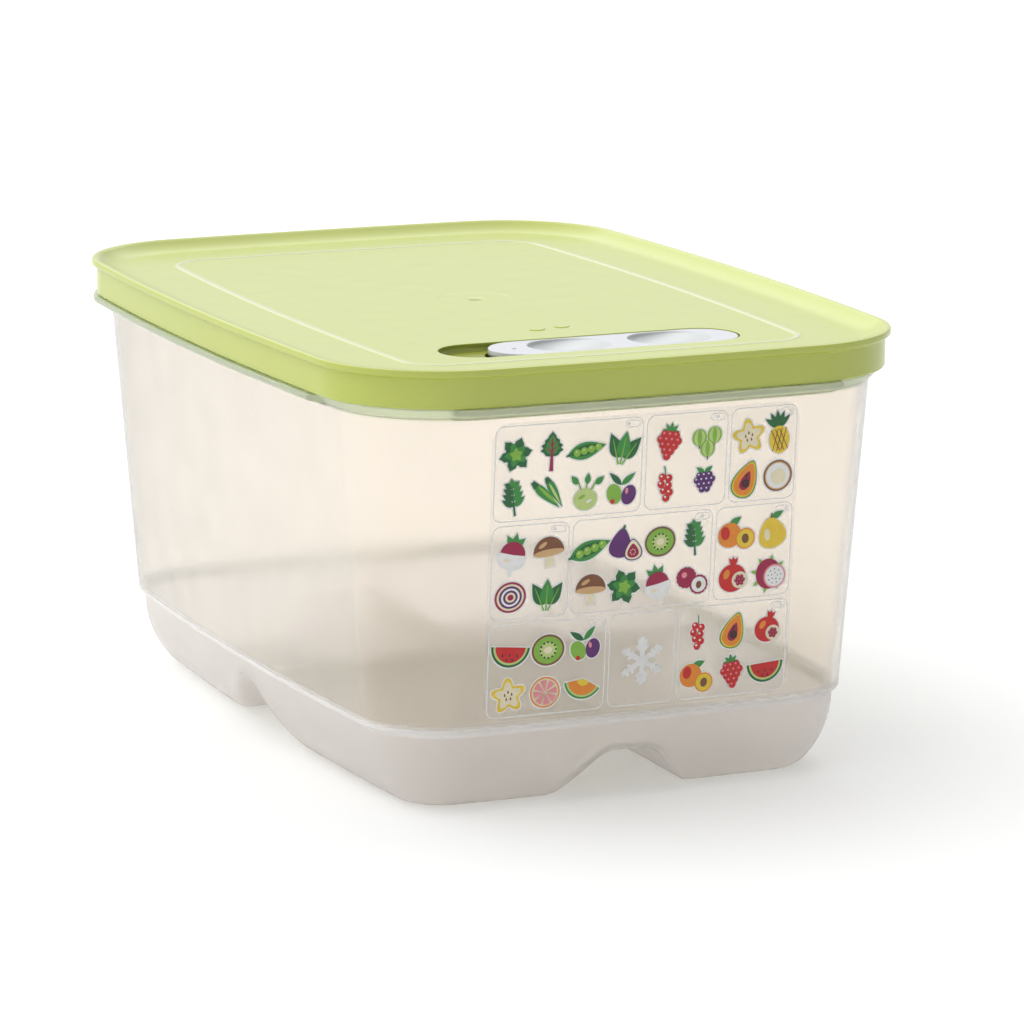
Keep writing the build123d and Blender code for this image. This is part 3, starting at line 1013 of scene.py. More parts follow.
def placed(points, x, y, turn):
    """Points turned about the origin and then moved to a place."""
    return [(x + a * cos(turn) - b * sin(turn), y + a * sin(turn) + b * cos(turn))
            for a, b in points]


def blob(x, y, across, up=None, lobes=0, depth=0.0, turn=0.0, steps=36):
    """Ellipse, or a lobed round."""
    up = up or across
    points = []
    for angle in np.linspace(0, 2 * pi, steps, endpoint=False):
        reach = 1 + depth * cos(lobes * angle)
        points.append((across * reach * cos(angle), up * reach * sin(angle)))
    return placed(points, x, y, turn)


def drop(x, y, width, height, turn=0.0, neck=0.45):
    """Pear shape with its neck up."""
    points = []
    for angle in np.linspace(0, 2 * pi, 36, endpoint=False):
        points.append((
            width / 2 * sin(angle) * (1 - neck * cos(angle)), height / 2 * cos(angle)))
    return placed(points[::-1], x, y, turn)


def leaf(x, y, length, width, turn, waves=0, swell=0.8):
    """Leaf or pod from its base at a place, pointed at its tip."""
    spine = np.linspace(0, 1, 22)
    wave = 1 + LEAF_WAVE * np.sin(waves * 2 * pi * spine)
    half = width / 2 * np.sin(pi * spine ** swell) * wave
    points = [(length * s, -h) for s, h in zip(spine, half)]
    points += [(length * s, h) for s, h in zip(spine[-2:0:-1], half[-2:0:-1])]
    return placed(points, x, y, turn)


def stem(x0, y0, x1, y1, start=0.9, end=0.6, bend=0.0):
    """Tapered stroke between two places, bent to one side."""
    base, tip = Vector((x0, y0)), Vector((x1, y1))
    side = (tip - base).orthogonal().normalized()
    middle = (base + tip) / 2 + side * bend
    left, right = [], []
    for share in np.linspace(0, 1, 9):
        here = base.lerp(middle, share).lerp(middle.lerp(tip, share), share)
        half = side * (start + (end - start) * share) / 2
        left.append(tuple(here + half))
        right.append(tuple(here - half))
    return right + left[::-1]


def wedge(x, y, radius, start, end):
    """Slice of a round, from one angle to another."""
    turns = np.linspace(start, end, 20)
    return [(x, y)] + [(x + radius * cos(turn), y + radius * sin(turn)) for turn in turns]


def berries(colour, light, places, radius):
    """Round berries with a light spot on each."""
    fruit = [(colour, blob(x, y, radius, steps=20)) for x, y in places]
    spot = 0.3 * radius
    return fruit + [
        (light, blob(x - 0.25 * radius, y + spot, spot, steps=10)) for x, y in places]


def seeds(colour, radius, steps, places):
    """Small round seeds or specks."""
    return [(colour, blob(x, y, radius, steps=steps)) for x, y in places]


def ring_places(count, radius, x=0.0, y=0.0, start=0.0):
    turns = [start + 2 * pi * step / count for step in range(count)]
    return [(x + radius * cos(turn), y + radius * sin(turn)) for turn in turns]


def cone_places(widths, pitch, top):
    """Places of berries in rows that widen or narrow, from the top down."""
    places = []
    for row, count in enumerate(widths):
        places += [((k - (count - 1) / 2) * pitch, top - 0.86 * pitch * row) for k in range(count)]
    return places


def mushroom():
    return [
        ("cream", stem(0, -4.6, 0, 0.6, 3.0, 2.2)),
        ("brown", wedge(0, -0.2, 4.9, 0, pi)),
        ("tan", blob(0, -0.2, 4.9, 1.1)),
        ("tan", blob(-1.7, 2.4, 1.5, 0.6, turn=0.5)),
    ]


def pea_pod():
    peas = [(-3.2 + 2.15 * k, -1.5 + 0.85 * k) for k in range(4)]
    return [
        ("green", leaf(-6.0, -2.6, 12.6, 5.2, 0.38)),
        ("dark_green", leaf(-5.2, -2.2, 10.8, 3.3, 0.38)),
        ("dark_green", stem(-6.4, -2.9, -5.2, -2.3, 0.5, 0.9)),
    ] + berries("light_green", "pale_green", peas, 1.15)


def watermelon():
    pips = [(-2.2, -0.6), (-0.8, -1.9), (0.9, -1.9), (2.3, -0.6), (0, -0.5)]
    return [
        ("dark_green", wedge(0, 1.8, 5.9, pi, 2 * pi)),
        ("pale_green", wedge(0, 1.8, 5.2, pi, 2 * pi)),
        ("red", wedge(0, 1.8, 4.6, pi, 2 * pi)),
    ] + [("black", drop(x, y, 0.5, 0.9)) for x, y in pips]


def kiwi():
    return [
        ("brown", blob(0, 0, 4.9, 4.5)),
        ("light_green", blob(0, 0, 4.3, 3.9)),
        ("pale_green", blob(0, 0, 2.6, 2.3)),
        ("cream", blob(0, 0, 1.2, 1.0)),
    ] + seeds("black", 0.32, 8, ring_places(12, 2.3))


def pineapple():
    crown = [("dark_green", leaf(0, 1.6, 5.0, 1.7, pi / 2 + turn))
             for turn in (-0.9, -0.45, 0.45, 0.9, 0)]
    net = [("brown", stem(side * (k - 2.6), -5.0, side * (k - 0.4), 1.2, 0.22, 0.22))
           for side in (1, -1) for k in (0.2, 1.5, 2.8)]
    return crown + [("yellow", blob(0, -1.9, 3.1, 4.0))] + net


def fig():
    return [
        ("purple", drop(-1.5, 0.3, 6.6, 9.0)),
        ("dark_green", stem(-1.5, 4.4, -1.1, 5.6, 0.9, 0.6)),
        ("purple", drop(2.8, -1.4, 5.4, 6.6, 0.2)),
        ("cream", drop(2.8, -1.4, 4.7, 5.9, 0.2)),
        ("crimson", drop(2.8, -1.7, 3.4, 4.2, 0.2)),
    ] + seeds("cream", 0.2, 6, ring_places(7, 0.8, 2.8, -2.1))


def herb_sprig():
    sprig = [("dark_green", stem(0, -5.6, 0, 4.0, 0.7, 0.3))]
    for k in range(4):
        y, length = -2.6 + 1.9 * k, 4.4 - 0.5 * k
        sprig += [
            ("green", leaf(0, y, length, 2.0, 0.6)),
            ("dark_green", leaf(0, y, length, 2.0, pi - 0.6)),
        ]
    return sprig + [("green", leaf(0, 3.4, 2.6, 1.6, pi / 2))]


def olives():
    return [
        ("green", leaf(-0.2, 1.6, 5.4, 1.8, 0.7)),
        ("dark_green", leaf(-0.2, 1.6, 5.4, 1.8, 2.4)),
        ("light_green", blob(-2.3, -1.0, 2.3, 3.0, turn=0.3)),
        ("purple", blob(2.2, -1.4, 2.2, 2.9, turn=-0.3)),
        ("red", blob(-2.7, -3.2, 0.7)),
        ("pink", blob(1.5, -0.2, 0.5, 0.9)),
    ]


def star_fruit():
    return [
        ("yellow", blob(0, 0, 4.2, lobes=5, depth=0.26, turn=0.3)),
        ("cream", blob(0, 0, 3.2, lobes=5, depth=0.28, turn=0.3)),
    ] + [("brown", drop(x, y, 0.45, 1.0)) for x, y in ring_places(5, 1.1, start=0.3)]


def okra():
    return [
        ("green", leaf(-4.4, 3.4, 10.5, 2.8, -0.75, swell=0.55)),
        ("light_green", leaf(-3.6, 3.2, 9.0, 1.0, -0.75)),
        ("dark_green", stem(-5.2, 4.4, -3.9, 2.9, 1.2, 2.2)),
        ("green", leaf(-0.6, 4.6, 9.4, 2.6, -1.05, swell=0.55)),
        ("pale_green", leaf(-0.2, 3.8, 7.6, 0.8, -1.05)),
        ("dark_green", stem(-1.1, 5.4, -0.3, 4.0, 1.0, 2.0)),
    ]


def coconut():
    return [
        ("brown", blob(0, 0, 4.8)),
        ("tan", blob(0, 0, 4.3)),
        ("white", blob(0, 0, 3.9)),
        ("cream", blob(0.2, -0.3, 2.5)),
    ]


def dragon_fruit():
    scales = [("light_green", leaf(*place, 2.4, 1.2, 0.4 + k * pi / 4))
              for k, place in enumerate(ring_places(8, 3.4, -0.6, 0, 0.4))]
    specks = ring_places(9, 2.1, 1.2, -1.2) + ring_places(5, 1.0, 1.2, -1.2)
    return scales + [
        ("crimson", blob(-0.6, 0, 4.1, 4.6)),
        ("pink", blob(1.2, -1.2, 3.6)),
        ("white", blob(1.2, -1.2, 3.1)),
    ] + seeds("black", 0.2, 6, specks)


def apricots():
    return [
        ("green", leaf(-1.8, 2.8, 4.4, 2.2, 0.5)),
        ("orange", blob(-1.9, 0.2, 3.6)),
        ("red", blob(-3.2, 1.0, 1.4, 1.9)),
        ("orange", blob(2.8, -1.6, 3.0)),
        ("yellow", blob(2.8, -1.6, 2.6)),
        ("brown", blob(2.8, -1.6, 1.1, 1.4)),
    ]


def papaya():
    middle = [(0, -1.2), (0, 0.5), (0.1, 1.2)]
    return [
        ("green", drop(0, 0, 7.0, 11.0, -0.35)),
        ("yellow", drop(0, 0, 6.3, 10.3, -0.35)),
        ("orange", drop(0, 0, 5.6, 9.4, -0.35)),
        ("crimson", drop(0, -0.4, 2.8, 5.6, -0.35)),
    ] + seeds("black", 0.38, 8, ring_places(9, 0.9, 0, -1.2) + middle)


def raspberry():
    cap = [("green", leaf(0, 3.0, 2.8, 1.1, turn)) for turn in (0.1, 0.8, 1.57, 2.3, 3.0)]
    return cap + berries("red", "pink", cone_places((3, 4, 3, 2, 1), 1.75, 2.2), 1.15)


def blackberries():
    cap = [("green", leaf(0, 2.8, 3.0, 1.4, turn)) for turn in (0.6, 2.5)]
    return cap + berries("purple", "frost", cone_places((3, 4, 3, 2), 1.5, 2.2), 0.95)


def chard():
    return [
        ("dark_green", leaf(0, -1.6, 7.6, 6.4, pi / 2, waves=5, swell=0.6)),
        ("green", leaf(0, -0.8, 5.8, 4.2, pi / 2, waves=4, swell=0.6)),
        ("crimson", stem(0, -5.8, 0, 4.2, 1.2, 0.3)),
        ("crimson", stem(0, 0, 2.0, 1.8, 0.4, 0.2)),
        ("crimson", stem(0, -0.4, -2.0, 1.4, 0.4, 0.2)),
        ("crimson", stem(0, 1.8, 1.4, 3.1, 0.35, 0.2)),
        ("crimson", stem(0, 1.6, -1.4, 2.9, 0.35, 0.2)),
    ]


def spinach():
    leaves = []
    for colour, x, turn in (
        ("dark_green", -0.6, 2.15), ("dark_green", 0.6, 1.0), ("green", 0, pi / 2),
    ):
        tip_x, tip_y = x + 6.0 * cos(turn), -3.0 + 6.0 * sin(turn)
        leaves += [
            (colour, leaf(x, -3.0, 8.0, 4.4, turn, swell=0.65)),
            ("light_green", stem(x, -5.0, tip_x, tip_y, 0.55, 0.2)),
        ]
    return leaves


def kohlrabi():
    tops = []
    for x, tip in ((-1.4, -3.0), (0, 0.2), (1.4, 3.2)):
        tops += [
            ("light_green", stem(x, 0.5, tip, 4.0, 0.6, 0.4)),
            ("green", leaf(tip * 0.9, 2.6, 3.4, 1.9, pi / 2 - 0.25 * tip)),
        ]
    return tops + [
        ("pale_green", blob(0, -1.9, 3.7, 3.3)),
        ("light_green", blob(-1.2, -1.2, 1.2, 0.5, turn=0.5)),
        ("white", blob(1.2, -2.4, 0.9, 0.4, turn=0.5)),
    ]


def quince():
    return [
        ("green", leaf(0.2, 3.8, 4.2, 2.0, 0.35)),
        ("yellow", drop(0, -0.5, 8.4, 9.2, 0.1, neck=0.3)),
        ("cream", blob(-1.6, -0.8, 0.9, 1.8)),
        ("brown", stem(0, 3.9, 0.5, 5.3, 0.6, 0.4)),
    ]


def lychees():
    return [
        ("crimson", blob(-2.0, 0.8, 3.3, lobes=14, depth=0.05)),
        ("pink", blob(-2.8, 1.6, 0.9)),
        ("crimson", blob(2.4, -1.2, 3.0, lobes=14, depth=0.05)),
        ("white", blob(2.4, -1.2, 2.4)),
        ("brown", blob(2.4, -1.3, 0.9, 1.2)),
    ]


def grapefruit():
    slices = [("orange", blob(0, 0, 4.7)), ("cream", blob(0, 0, 4.2))]
    for k in range(8):
        turn = k * pi / 4 + 0.2
        x, y = 0.35 * cos(turn), 0.35 * sin(turn)
        slices.append(("pink", wedge(x, y, 3.4, turn - 0.33, turn + 0.33)))
    return slices


def pomegranate():
    crown = [("red", leaf(0, 3.2, 2.6, 1.2, turn)) for turn in (1.0, 1.57, 2.1)]
    grains = ring_places(6, 1.1, 1.8, -1.2) + [(1.8, -1.2)]
    return crown + [
        ("red", blob(-0.4, -0.4, 4.2, 4.0)),
        ("orange", blob(-2.2, 0.9, 0.9, 1.4, turn=-0.4)),
        ("cream", blob(1.8, -1.2, 2.4)),
    ] + berries("crimson", "pink", grains, 0.6)


def onion_slice():
    rings = ("crimson", "cream", "purple", "white", "purple", "cream", "crimson")
    return [(colour, blob(0, 0, 4.6 - 0.62 * k, 4.3 - 0.58 * k)) for k, colour in enumerate(rings)]


def turnip():
    tops = [("green", leaf(0, 2.0, 4.4, 1.8, pi / 2 + turn, waves=2))
            for turn in (-0.7, 0.7, 0)]
    return tops + [
        ("white", stem(0, -2.4, 0.6, -5.8, 1.6, 0.2)),
        ("white", blob(0, -0.8, 4.0, 3.1)),
        ("crimson", wedge(0, 0.2, 3.7, 0.05, pi - 0.05)),
        ("cream", blob(-1.4, -1.6, 0.9, 0.5)),
    ]


def gooseberries():
    fruit = []
    for x, y in ((-2.4, 0.9), (2.3, 1.4), (0.2, -2.4)):
        fruit += [
            ("light_green", blob(x, y, 2.3, 2.5)),
            ("pale_green", blob(x, y, 1.7, 2.3)),
            ("light_green", blob(x, y, 0.7, 2.2)),
            ("brown", stem(x, y - 2.3, x, y - 3.2, 0.5, 0.3)),
        ]
    return fruit


def currants():
    places = [
        (-0.9, 2.6), (1.0, 2.0), (-1.4, 0.7), (0.7, 0.0), (-0.8, -1.2), (0.9, -2.0), (-0.2, -3.4)]
    stalk = ("green", stem(0, 5.6, 0, -3.0, 0.4, 0.2, 0.4))
    return [stalk] + berries("red", "white", places, 1.1)


def salad_rosette():
    leaves = []
    for colour, length, width, waves, start, count in (
        ("dark_green", 5.4, 3.8, 3, 0, 6), ("green", 3.9, 2.6, 3, 0.5, 5),
        ("light_green", 2.2, 1.6, 0, 0.2, 5),
    ):
        for turn in np.linspace(start, start + 2 * pi, count, endpoint=False):
            leaves.append((colour, leaf(0, 0, length, width, turn, waves=waves)))
    return leaves


def melon_slice():
    layers = (("green", 6.3), ("pale_green", 5.7), ("orange", 5.1), ("yellow", 2.2))
    return [(colour, wedge(-0.5, 2.6, radius, pi + 0.35, 2 * pi - 0.35))
            for colour, radius in layers]


def snowflake():
    arms = []
    for k in range(6):
        turn = k * pi / 3 + pi / 6
        arms.append(("white", stem(0, 0, 7.0 * cos(turn), 7.0 * sin(turn), 0.8, 0.7)))
        for reach, twig in ((3.2, 2.0), (5.0, 1.5)):
            x, y = reach * cos(turn), reach * sin(turn)
            for side in (turn - 0.9, turn + 0.9):
                arms.append(("white", stem(
                    x, y, x + twig * cos(side), y + twig * sin(side), 0.7, 0.6)))
    return arms


# Panels of the chart: place (left, low, right, high), columns and rows, and what each shows
PANELS = (
    ("chart_greens", (-49.0, 15.7, -2.0, 44.5), 4, 2, (
        salad_rosette, chard, pea_pod, spinach, herb_sprig, okra, kohlrabi, olives)),
    ("chart_berries", (-0.6, 15.7, 25.8, 44.5), 2, 2, (
        raspberry, gooseberries, currants, blackberries)),
    ("chart_exotics", (27.2, 15.7, 49.0, 44.5), 2, 2, (
        star_fruit, pineapple, papaya, coconut)),
    ("chart_roots", (-49.0, -14.4, -24.6, 14.3), 2, 2, (
        turnip, mushroom, onion_slice, spinach)),
    ("chart_mixed", (-23.2, -14.4, 22.2, 14.3), 4, 2, (
        pea_pod, fig, kiwi, herb_sprig, mushroom, salad_rosette, turnip, lychees)),
    ("chart_orchard", (23.6, -14.4, 49.0, 14.3), 2, 2, (
        apricots, quince, pomegranate, dragon_fruit)),
    ("chart_slices", (-49.0, -44.5, -11.4, -15.8), 3, 2, (
        watermelon, kiwi, olives, star_fruit, grapefruit, melon_slice)),
    ("chart_cold", (-10.0, -44.5, 11.4, -15.8), 1, 1, (snowflake,)),
    ("chart_summer", (12.8, -44.5, 49.0, -15.8), 3, 2, (
        currants, papaya, pomegranate, apricots, raspberry, watermelon)),
)

# Frame, pill and pictures of a panel, in millimetres, with margins beside, above and under them
FRAME_CORNER = 2.6
FRAME_LINE = 0.36
FRAME_STEP = 4.0
PILL = (4.6, 2.0)
PILL_LINE = 0.28
PILL_KNOB = 0.62
PILL_STOPS = (-1, 0, 1)
PILL_FROM_CORNER = (3.4, 1.9)
MARGINS = (0.5, 2.2, 0.4)
PICTURE_SCALE = 1.05
PICTURE_SIZES = (0.93, 1.05)
PICTURE_SHIFT = 0.3
PICTURE_TURN = 0.22
FIRST_SEED = 40


def offset_shape(points, away):
    """The shape grown outwards by a distance, for a sticker border."""
    corners = [Vector(point) for point in points]
    grown = []
    for before, here, after in zip(corners[-1:] + corners, corners, corners[1:] + corners[:1]):
        edge = (after - before).normalized()
        grown.append((here.x + edge.y * away, here.y - edge.x * away))
    return grown


class PanelPrint:
    """Collects the printed shapes of one panel, each layer a little in front of the last."""

    def __init__(self):
        self.bm = bmesh.new()
        self.inks = []
        self.middle = (CHART_LOW.z + CHART_HIGH.z) / 2

    def ink_slot(self, ink):
        """Number of an ink among the panel's own."""
        if ink not in self.inks:
            self.inks.append(ink)
        return self.inks.index(ink)

    def verts(self, points, layer):
        """Corners on the wall for points in millimetres about the chart's middle."""
        lift = PRINT_LIFT + layer * PRINT_STEP
        return add_row(self.bm, [
            on_wall(x * MM, self.middle + y * MM, lift) for x, y in points])

    def shape(self, ink, points, layer):
        self.bm.faces.new(self.verts(points, layer)).material_index = self.ink_slot(ink)

    def line(self, ink, points, width, layer):
        """A closed line of an even width."""
        outer = self.verts(offset_shape(points, width / 2), layer)
        inner = self.verts(offset_shape(points, -width / 2), layer)
        for k in range(len(points)):
            after = (k + 1) % len(points)
            face = self.bm.faces.new((outer[k], outer[after], inner[after], inner[k]))
            face.material_index = self.ink_slot(ink)

    def picture(self, shapes, x, y, scale, turn):
        """One picture with its white border, turned and scaled about its middle."""
        below = []
        for number, (ink, shape) in enumerate(shapes):
            points = [(x + scale * a, y + scale * b) for a, b in placed(shape, 0, 0, turn)]
            low, high = np.min(points, axis=0), np.max(points, axis=0)
            touched = [other for other in below
                       if (low < other[1]).all() and (high > other[0]).all()]
            layer = 1 + max((other[2] for other in touched), default=0)
            below.append((low, high, layer))
            if not any((low > other[0]).all() and (high < other[1]).all() for other in touched):
                border = offset_shape(points, STICKER_BORDER / MM)
                self.shape("white", border, number * BORDER_SHARE)
            self.shape(ink, points, layer)

    def pill(self, x, y, stop):
        """A small slider with its knob at one of three places."""
        length, width = PILL
        path = [(x + a, y + b) for a, b in corner_path(length, width, width / 2 - 0.01, 8)]
        self.line("white", path, PILL_LINE, 0)
        self.shape("white", blob(x + stop * (length - width) / 2, y, PILL_KNOB, steps=20), 0)


def frame_path(left, low, right, high):
    """Rounded frame with points close enough together to follow the bowed wall."""
    path = []
    corners = corner_path(right - left, high - low, FRAME_CORNER)
    middle_x, middle_y = (left + right) / 2, (low + high) / 2
    for (x, y), (next_x, next_y) in zip(corners, corners[1:] + corners[:1]):
        count = max(1, int(hypot(next_x - x, next_y - y) / FRAME_STEP))
        for share in (step / count for step in range(count)):
            path.append((
                middle_x + x + share * (next_x - x), middle_y + y + share * (next_y - y)))
    return path


def panel_print(number, place, columns, rows, pictures):
    """Everything printed on one panel."""
    left, low, right, high = place
    panel = PanelPrint()
    panel.line("white", frame_path(*place), FRAME_LINE, 0)
    jitter = np.random.default_rng(FIRST_SEED + number)
    many = len(pictures) > 1
    side, above, under = MARGINS
    cell_x = (right - left - 2 * side) / columns
    cell_y = (high - low - (above + under)) / rows
    for k, picture in enumerate(pictures):
        row, column = divmod(k, columns)
        shift = (-PICTURE_SHIFT, PICTURE_SHIFT)
        x = left + side + cell_x * (column + 0.5) + jitter.uniform(*shift)
        y = high - above - cell_y * (row + 0.5) + jitter.uniform(*shift)
        turn = jitter.uniform(-PICTURE_TURN, PICTURE_TURN) if many else 0.0
        panel.picture(picture(), x, y, PICTURE_SCALE * jitter.uniform(*PICTURE_SIZES), turn)
    if many:
        from_right, from_top = PILL_FROM_CORNER
        stop = PILL_STOPS[number % len(PILL_STOPS)]
        panel.pill(right - from_right, high - from_top, stop)
    for face in panel.bm.faces:
        face.normal_update()
        if face.normal.y > 0:
            face.normal_flip()
    return panel


# Arc marks behind the vent

def crescent(x, y, slim, z):
    """One row round a crescent that bulges to the front, slimmer by a given amount."""
    outer, inner = [], []
    for share in np.linspace(0, 1, 17):
        angle = -pi / 2 + (share - 0.5) * ARC_SPAN
        half = (0.5 * ARC_WIDTH - slim) * (0.3 + 0.7 * sin(pi * share))
        for side, points in ((1, outer), (-1, inner)):
            reach = ARC_RADIUS + side * half
            points.append((x + reach * cos(angle), y + reach * sin(angle), z))
    return outer + inner[::-1]


def arc_marks_mesh():
    """Two low crescents on the panel, behind the vent."""
    bm = bmesh.new()
    for x, y in ARC_MARKS:
        first, last = skin(bm, [
            crescent(x, y, 0.0, PANEL_TOP - ARC_RISE),
            crescent(x, y, 0.0, PANEL_TOP + 0.2 * ARC_RISE),
            crescent(x, y, 0.12 * MM, PANEL_TOP + 0.8 * ARC_RISE),
            crescent(x, y, 0.3 * MM, PANEL_TOP + ARC_RISE),
        ])
        bm.faces.new(first)
        bm.faces.new(last)
    return bm


# Materials

class ShaderNodes:
    """The nodes of a material or of the world, and short ways to add to them."""

    def __init__(self, owner):
        owner.use_nodes = True
        self.nodes = owner.node_tree.nodes
        self.links = owner.node_tree.links

    def feed(self, socket, value):
        """Links another node's output to a socket, or sets the socket's own value."""
        if isinstance(value, bpy.types.NodeSocket):
            self.links.new(value, socket)
        elif socket.type == "RGBA":
            socket.default_value = (*value, 1.0)
        else:
            socket.default_value = value

    def put(self, kind, inputs=None, **settings):
        """Adds a node with its settings, and feeds its inputs by name or number."""
        node = self.nodes.new("ShaderNode" + kind)
        for name, value in settings.items():
            setattr(node, name, value)
        for name, value in (inputs or {}).items():
            self.feed(node.inputs[name], value)
        return node

    def math(self, operation, *values):
        return self.put("Math", dict(enumerate(values)), operation=operation).outputs[0]

    def ranged(self, value, start, end, low, high):
        """Maps a value between start and end to one between low and high."""
        return self.put("MapRange", {
            "Value": value, "From Min": start, "From Max": end, "To Min": low, "To Max": high,
        }).outputs["Result"]

    def blend(self, factor, first, second):
        """Colour between two, by a factor."""
        return self.put("Mix", {0: factor, 6: first, 7: second}, data_type="RGBA").outputs[2]

    def seen_directly(self):
        """One for rays that show the background, straight, in gloss or through clear plastic."""
        path = self.put("LightPath").outputs
        seen = self.math("MAXIMUM", path["Is Camera Ray"], path["Is Glossy Ray"])
        return self.math("MAXIMUM", seen, path["Is Transmission Ray"])


class Recipe(ShaderNodes):
    """A plastic or an ink, whose place on the object its nodes can read."""

    def __init__(self, name):
        self.material = bpy.data.materials.new(name)
        super().__init__(self.material)
        self.plastic = self.nodes["Principled BSDF"]
        self.place = self.put("TexCoord").outputs["Object"]

    def into(self, name, value):
        self.feed(self.plastic.inputs[name], value)

    def noise(self, scale):
        return self.put("TexNoise", {
            "Vector": self.place, "Scale": scale, "Detail": NOISE_DETAIL}).outputs["Fac"]

    def patches(self, scale, low, high):
        """Unevenness between two values."""
        return self.ranged(self.noise(scale), *NOISE_SPAN, low, high)

    def grain(self, scale, strength):
        """Fine moulded grain."""
        bump = self.put("Bump", {
            "Height": self.noise(scale), "Strength": strength, "Distance": GRAIN_DEPTH})
        self.into("Normal", bump.outputs["Normal"])

    def zoned(self, zones, amounts):
        """Sum of the zones, each times its own amount."""
        first, *others = [
            self.math("MULTIPLY", zone, amount) for zone, amount in zip(zones, amounts)]
        for other in others:
            first = self.math("ADD", first, other)
        return first

    def clear_shadow(self, share):
        """Lets light through to what lies behind, where it would otherwise be a full shadow."""
        shadow = self.put("LightPath").outputs["Is Shadow Ray"]
        mix = self.put("MixShader", {
            0: self.math("MULTIPLY", shadow, share),
            1: self.plastic.outputs[0],
            2: self.put("BsdfTransparent").outputs[0],
        })
        self.feed(self.nodes["Material Output"].inputs["Surface"], mix.outputs[0])


def shade(colour, share):
    return tuple(min(1.0, part * share) for part in colour)


def tinted(colour, shares):
    return tuple(part * share for part, share in zip(colour, shares))


def clear_plastic():
    """Milky clear walls, frosted under the ledge, with painted shade where seen edge on, a painted
    highlight on the ledge and a painted green cast at the rim.
    """
    c = colours()
    recipe = Recipe("clear_plastic")
    height = recipe.put("SeparateXYZ", {"Vector": recipe.place}).outputs["Z"]
    frost = recipe.ranged(height, *FROST_FADE, 1.0, 0.0)
    rim = recipe.ranged(height, *RIM_START, 0.0, 1.0)
    ledge = recipe.math(
        "MULTIPLY", recipe.ranged(height, *LEDGE_START, 0.0, 1.0),
        recipe.ranged(height, *LEDGE_END, 1.0, 0.0))
    zones = (frost, rim, ledge)

    mottle = recipe.noise(CLEAR_MOTTLE)
    clear = recipe.blend(mottle, *(shade(c.clear, share) for share in CLEAR_SHADES))
    frosted = recipe.blend(mottle, *(shade(c.frosted, share) for share in FROSTED_SHADES))
    # Painted shade: darker where the wall is seen edge on
    facing = recipe.put("LayerWeight", {"Blend": 0.5}).outputs["Facing"]
    clear = recipe.blend(recipe.math("POWER", facing, EDGE_SHADE_POWER), clear, tuple(c.edge))
    # Painted highlight: a lighter band along the ledge
    clear = recipe.blend(ledge, clear, LEDGE_HIGHLIGHT)
    # At the rim, a painted green cast of the lid's light shining through
    recipe.into("Base Color", recipe.blend(rim, recipe.blend(frost, clear, frosted), tuple(c.rim)))

    loss = recipe.zoned(zones, CLEARNESS_LOSS)
    recipe.into("Transmission Weight", recipe.math("SUBTRACT", CLEARNESS, loss))
    gain = recipe.zoned(zones, ROUGHNESS_GAIN)
    recipe.into("Roughness", recipe.math("ADD", gain, recipe.patches(*CLEAR_PATCHES)))
    recipe.into("IOR", CLEAR_IOR)
    recipe.grain(*CLEAR_GRAIN)
    recipe.clear_shadow(recipe.math(
        "SUBTRACT", SHADOW_SHARE, recipe.math("MULTIPLY", frost, SHADOW_LOSS)))
    return recipe.material


def moulded(name, colour, roughness, finish):
    """Recipe of an opaque plastic or ink with an uneven colour and gloss and a fine grain."""
    mottle, shades, patches, grain = finish
    recipe = Recipe(name)
    recipe.into("Base Color", recipe.blend(
        recipe.noise(mottle), *(shade(colour, share) for share in shades)))
    recipe.into("Roughness", recipe.patches(patches, *roughness))
    recipe.grain(*grain)
    return recipe


def lime_plastic(name, colour, smooth):
    """Satin lime plastic with a fine moulded grain."""
    recipe = moulded(name, colour, (smooth, smooth + LIME_GLOSS_RANGE), LIME_FINISH)
    recipe.into("IOR", LIME_IOR)
    return recipe.material


def white_plastic(name, colour):
    """Smooth white plastic with a faint lilac cast."""
    return moulded(name, colour, WHITE_ROUGHNESS, WHITE_FINISH).material


def chart_film():
    """Nearly clear film with a faint sheen."""
    recipe = Recipe("chart_film")
    recipe.into("Base Color", recipe.blend(recipe.noise(FILM_MOTTLE), *FILM_COLOURS))
    recipe.into("Roughness", recipe.patches(*FILM_PATCHES))
    recipe.into("Alpha", FILM_ALPHA)
    return recipe.material


def ink(name):
    """Printed ink, a little uneven, as screen prints are."""
    return moulded("ink_" + name, INKS[name], INK_ROUGHNESS, INK_FINISH).material


# Stage

def look_direction(stage):
    """Right, up and forward of the camera."""
    back = Vector((
        sin(stage.azimuth) * cos(stage.elevation), -cos(stage.azimuth) * cos(stage.elevation),
        sin(stage.elevation)))
    right = Vector((cos(stage.azimuth), sin(stage.azimuth), 0))
    up = back.cross(right)
    c, s = cos(stage.roll), sin(stage.roll)
    right, up = c * right + s * up, c * up - s * right
    forward = (tan(stage.tip) * up - back).normalized()
    up = right.cross(forward)
    return right, up, forward


def make_camera(stage):
    """Camera at the picture's own viewing angle."""
    data = bpy.data.cameras.new("camera")
    data.sensor_width = SENSOR_WIDTH
    data.lens = stage.lens
    data.clip_start = CLIP_START
    camera = bpy.data.objects.new("camera", data)
    right, up, forward = look_direction(stage)
    turn = Matrix((right, up, -forward)).transposed()
    camera.matrix_world = Matrix.Translation(stage.place) @ turn.to_4x4()
    show(camera)
    bpy.context.scene.camera = camera


